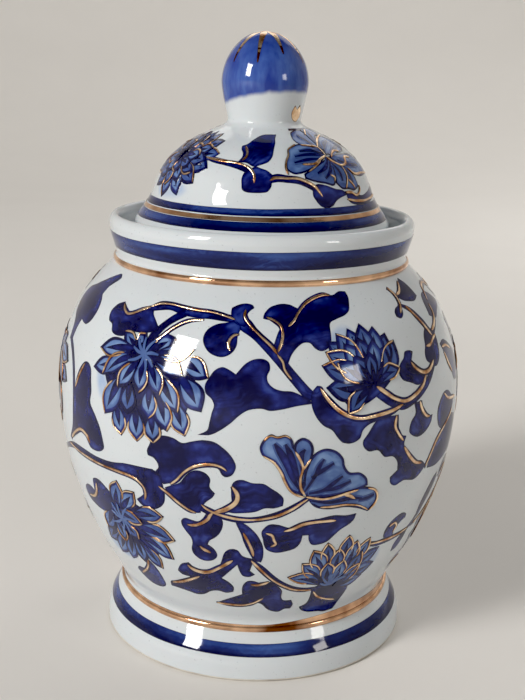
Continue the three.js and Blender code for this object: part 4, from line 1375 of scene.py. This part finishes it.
def paint_belly(side, turn):
    """All the painting on one half of the belly."""
    layers = paint_layers(BELLY, turn, 11)
    dark, petals_dark, pale, gold, wash = layers
    for number, points in enumerate(BELLY_WASHES):
        wash.film(brush_curve(points, EDGE_SPACING, closed=True), WASH_LIFT + 0.002 * number)
    for number, points in enumerate(BELLY_STEMS + SIDE_STEMS):
        dark.film(ribbon(points), STEM_LIFT + 0.001 * number)
    for number, points in enumerate(BELLY_LEAVES + SIDE_LEAVES):
        dark.film(leaf_outline(points), LEAF_LIFT + 0.001 * (number % 5))

    petal_layers = (petals_dark, pale, gold)
    paint_petals(*petal_layers, CHRYSANTHEMUM, shade=0.1)
    paint_heart(pale, CHRYSANTHEMUM_HEART)
    paint_petals(*petal_layers, LOTUS_BUD, shade=-0.2, ground=0.8)
    paint_petals(*petal_layers, LEFT_BLOOM, shade=-0.08)
    paint_heart(pale, LEFT_BLOOM_HEART)
    paint_petals(*petal_layers, LOTUS, shade=-0.1)
    paint_heart(pale, LOTUS_HEART, span=LOTUS_SPAN)
    paint_petals(*petal_layers, mirrored(CHRYSANTHEMUM, *SIDE_CHRYSANTHEMUM), shade=0.0)
    paint_heart(pale, mirrored_heart(CHRYSANTHEMUM_HEART, *SIDE_CHRYSANTHEMUM))
    paint_petals(*petal_layers, mirrored(LOTUS, *SIDE_LOTUS), shade=-0.1)
    paint_heart(pale, mirrored_heart(LOTUS_HEART, *SIDE_LOTUS), span=LOTUS_SPAN)

    paint_fan(petals_dark, pale, FAN_LOBES, step=0.03, rim=0.7, shade=0.12)
    paint_veins(petals_dark, pale, FAN_VEINS, lift=0.185)
    for width, points in FAN_GOLD:
        gold.line(points, width, FAN_GOLD_LIFT)
    paint_gold_lines(dark, gold, BELLY_GOLD + SIDE_GOLD)
    make_layers(layers, "belly", side)


def paint_dome(side, turn):
    """All the painting on one half of the lid's dome."""
    layers = paint_layers(DOME, turn, 21)
    dark, petals_dark, pale, gold, wash = layers
    for points in LID_WASHES:
        wash.film(brush_curve(points, EDGE_SPACING, closed=True), LID_WASH_LIFT)
    for points in LID_STEMS:
        dark.film(ribbon(points), STEM_LIFT)
    for number, points in enumerate(LID_LEAVES):
        dark.film(leaf_outline(points), LEAF_LIFT + 0.002 * number)
    rose = rose_petals(LID_ROSE_CENTRE, DOME, LID_ROSE_REACH, LID_ROSE_RINGS)
    paint_petals(petals_dark, pale, gold, rose, shade=-0.08)
    paint_fan(petals_dark, pale, LID_FAN_LOBES, step=0.02, rim=0.55, shade=0.02)
    paint_veins(petals_dark, pale, LID_FAN_VEINS, lift=0.218)
    for width, points in LID_GOLD:
        over_fan = points[0][0] > LID_FAN_SIDE
        gold.line(points, width, LID_FAN_GOLD_LIFT if over_fan else LID_GOLD_LIFT)
    make_layers(layers, "lid", side)


def wavy(count, size, seed):
    """A slow uneven wave round a band's edge, as a hand leaves it."""
    dice = random.Random(seed)
    angle = np.linspace(0, 2 * math.pi, count, endpoint=False)
    total = np.zeros(count)
    for beats in (1, 2, 3, 5, 8, 13):
        total += np.sin(beats * angle + dice.uniform(0, 6.28)) / math.sqrt(beats)
    return size * total / 2.2


def make_band(name, wall, low, high, material, slot, seed, wave=0.12, rows=8, lift=BAND_LIFT, top_rim=True):
    """A painted band round a wall, between two heights along it, with slightly uneven edges. low and high
    may each be one number or one for every facet round. Without a top rim, its finish only sees the low
    edge."""
    count = BAND_SEGMENTS
    low = np.zeros(count) + low + wavy(count, wave, seed)
    high = np.zeros(count) + high + wavy(count, wave, seed + 50)
    across = np.linspace(0, 2 * math.pi * wall.radius, count, endpoint=False)
    vertices, normals, edge = [], [], []
    shares = [*np.linspace(0, 1, rows + 1)]
    levels = [(share, lift) for share in shares] + [(share, -FILM_DEPTH) for share in (1.0, 0.0)]
    for share, level in levels:
        up = low + (high - low) * share
        points, outwards = wall.place(across, up, level)
        vertices.extend(points)
        normals.extend(outwards if level > 0 else -outwards)
        edge.extend((min(share, 1 - share) if top_rim else share) * (high - low))
    faces = []
    for j in range(len(levels)):
        k = (j + 1) % len(levels)
        for i in range(count):
            after = (i + 1) % count
            faces.append((j * count + i, j * count + after, k * count + after, k * count + i))
    grain = [v[2] / MM for v in vertices]
    tone = np.repeat([BAND_SHADE * (share - 0.4) for share, _ in levels], count)
    numbers = {"edge": edge, "tone": tone, "grain": grain}
    return make_object(name, vertices, faces, material, wall.body, normals, numbers)


def up_wall(wall, heights):
    """How far along a wall two heights lie."""
    return np.interp(heights, wall.points[:, 1], wall.up)


def make_bands():
    make_band("foot_band", FOOT, *up_wall(FOOT, FOOT_BAND), BAND_COBALT, "cobalt_dark", seed=3)
    make_band("collar_band", COLLAR, *up_wall(COLLAR, COLLAR_BAND), BAND_COBALT, "cobalt_dark", seed=5)
    make_band("lid_lower_band", DOME, *LID_LOWER_BAND, BAND_COBALT, "cobalt_dark", seed=7, wave=0.1)
    make_band("lid_upper_band", DOME, *LID_UPPER_BAND, BAND_COBALT, "cobalt_dark", seed=9)
    make_band("lid_gold_line", DOME, *LID_GOLD_LINE, RING_GILDING, "gilding", seed=11, wave=0.05, rows=4,
              lift=LID_GOLD_LINE_LIFT)


def make_gold_rings():
    """The gilding on the two raised rings, and what the brush carried up the belly from the lower one."""
    for name, ring in (("waist_gold_ring", WAIST_RING), ("neck_gold_ring", NECK_RING)):
        make_skin(name, raised_ring(*ring, steps=12), RING_LIFT, RING_GILDING, "jar")
    angle = np.linspace(0, 2 * math.pi, BAND_SEGMENTS, endpoint=False)
    broad = np.clip(np.sin(2 * (angle - 0.05)), 0, 1) ** 1.5
    least, more = WAIST_GOLD
    make_band("waist_gold_edge", BELLY, 0.0, least + more * broad, RING_GILDING, "gilding", seed=15,
              wave=0.06, rows=4, lift=WAIST_GOLD_LIFT)


KNOB_PETAL = [
    (12.2, 1.2), (10.2, 2), (9.5, 3.8), (10.5, 5.8), (11.9, 4.6), (13, 6), (14.4, 4.2), (14.5, 2.4),
]


def make_knob_painting():
    """The blue cap of the knob, with its uneven lower edge, and the gold star that runs down from the tip."""
    angle = np.linspace(0, 2 * math.pi, BAND_SEGMENTS, endpoint=False)
    low = KNOB_CAP + 1.6 * np.sin(angle) + 0.9 * np.cos(2 * angle)
    make_band("knob_cap", KNOB, low, KNOB.length - 0.15, KNOB_COBALT, "cobalt_dark", seed=13, wave=0.1,
              rows=40, top_rim=False)
    gold = Painting(KNOB, 0.0, seed=31)
    for spear in range(SPEARS):
        gold.turn = SPEAR_START / KNOB.radius + spear * 2 * math.pi / SPEARS
        reach = KNOB.length - 0.4
        tip = SPEAR_TIP[0] + SPEAR_TIP[1] * (spear % 2)
        stroke = []
        for share in np.linspace(0, 1, 14):
            up = reach + (tip - reach) * share
            real = SPEAR_WIDTH[0] + SPEAR_WIDTH[1] * (1 - share) ** 1.1 if share < 0.97 else 0.3
            real = min(real, 2 * math.pi * KNOB.radius_at(up) / SPEARS * 0.9)
            width = real * KNOB.radius / max(KNOB.radius_at(up), 0.4)
            stroke.append((0.0, up, width))
        gold.film(ribbon(stroke), SPEAR_LIFT)
    for half_turn in (0.0, math.pi):
        gold.turn = half_turn
        gold.film(leaf_outline(KNOB_PETAL), KNOB_PETAL_LIFT)
    gold.make("knob_gold", GILDING, "gilding")


make_porcelain()
make_bare_rings()
make_bands()
make_gold_rings()
make_knob_painting()
for half, half_turn in (("front", 0.0), ("back", math.pi)):
    paint_belly(half, half_turn)
    paint_dome(half, half_turn)


# ---- Studio ----------------------------------------------------------------------------------


def make_backdrop():
    """A plain floor that sweeps up into a wall all round, behind every view of the jar."""
    outline = [(0.0, 0.0), (300.0, 0.0), (700.0, 0.0), (FLOOR_RADIUS, 0.0)]
    outline += [tuple(p) for p in round_edge(FLOOR_RADIUS, FLOOR_SWEEP, FLOOR_SWEEP, -90, 0, 16)[1:]]
    outline += [(FLOOR_RADIUS + FLOOR_SWEEP, BACKDROP_HEIGHT)]
    vertices, faces = turned_mesh(outline, 96)
    mesh = bpy.data.meshes.new("backdrop")
    mesh.from_pydata(vertices, [], [face[::-1] for face in faces])
    mesh.shade_smooth()
    shader = Shader("plain_floor")
    cloud = shader.noise(120.0, detail=3.0)
    shader.set(Base_Color=shader.mix(cloud, (0.77, 0.745, 0.71), (0.81, 0.785, 0.75)), Roughness=0.9)
    mesh.materials.append(shader.material)
    backdrop = bpy.data.objects.new("backdrop", mesh)
    bpy.context.scene.collection.objects.link(backdrop)


def soft_light(name, direction, distance, size, power, colour, target=Vector((0, 0, 0.09)), mirrored=True):
    """A flat lamp that looks at a target from a direction, which is given as the degrees that it lies to
    the right of the camera's side and above the floor. One that isn't mirrored shows in no reflection."""
    a, e = math.radians(direction[0]), math.radians(direction[1])
    way = Vector((math.sin(a) * math.cos(e), -math.cos(a) * math.cos(e), math.sin(e)))
    lamp = bpy.data.lights.new(name, "AREA")
    lamp.shape = "RECTANGLE"
    lamp.size, lamp.size_y = size
    lamp.energy = power
    lamp.color = colour
    holder = bpy.data.objects.new(name, lamp)
    bpy.context.scene.collection.objects.link(holder)
    holder.visible_glossy = mirrored
    holder.location = target + way * distance
    holder.rotation_euler = (-way).to_track_quat("-Z", "Y").to_euler()


def make_lights():
    world = bpy.data.worlds.new("studio")
    world.use_nodes = True
    world.node_tree.nodes["Background"].inputs["Color"].default_value = WORLD_COLOUR
    world.node_tree.nodes["Background"].inputs["Strength"].default_value = WORLD_STRENGTH
    bpy.context.scene.world = world
    # The distance and the size are in metres, and the power is in watts.
    soft_light("window", (-48, 27), 1.7, (0.38, 0.64), 20.5, (1.0, 0.985, 0.96))
    soft_light("far_window", (53, 16.5), 1.1, (0.19, 0.20), 1.0, (1.0, 0.97, 0.93))
    soft_light("behind", (172, 50), 1.5, (1.6, 1.1), 4.8, (1.0, 0.99, 0.97), Vector((0.1, 0.6, 0)))
    soft_light("right_back", (128, 48), 0.85, (0.5, 0.5), 3.0, (1.0, 0.99, 0.97), Vector((0.28, 0.42, 0)),
               mirrored=False)
    view = bpy.context.scene.view_settings
    view.view_transform = "Standard"
    view.use_curve_mapping = True
    view.curve_mapping.black_level = (BLACK_LEVEL, BLACK_LEVEL, BLACK_LEVEL)
    view.curve_mapping.update()


def make_camera():
    """At the photograph's viewing point: a little above the jar, in front of it, slightly rolled."""
    lens = bpy.data.cameras.new("camera")
    lens.lens = CAMERA_LENS
    lens.sensor_width = 36.0
    camera = bpy.data.objects.new("camera", lens)
    bpy.context.scene.collection.objects.link(camera)
    pitch, yaw, roll = (math.radians(angle) for angle in CAMERA_ANGLES)
    facing = Matrix.Rotation(yaw, 4, "Z") @ Matrix.Rotation(math.radians(90) + pitch, 4, "X")
    camera.matrix_world = Matrix.Translation(CAMERA_PLACE) @ facing @ Matrix.Rotation(roll, 4, "Z")
    lens.clip_start = 0.01
    lens.clip_end = 20
    bpy.context.scene.camera = camera


make_backdrop()
make_lights()
make_camera()
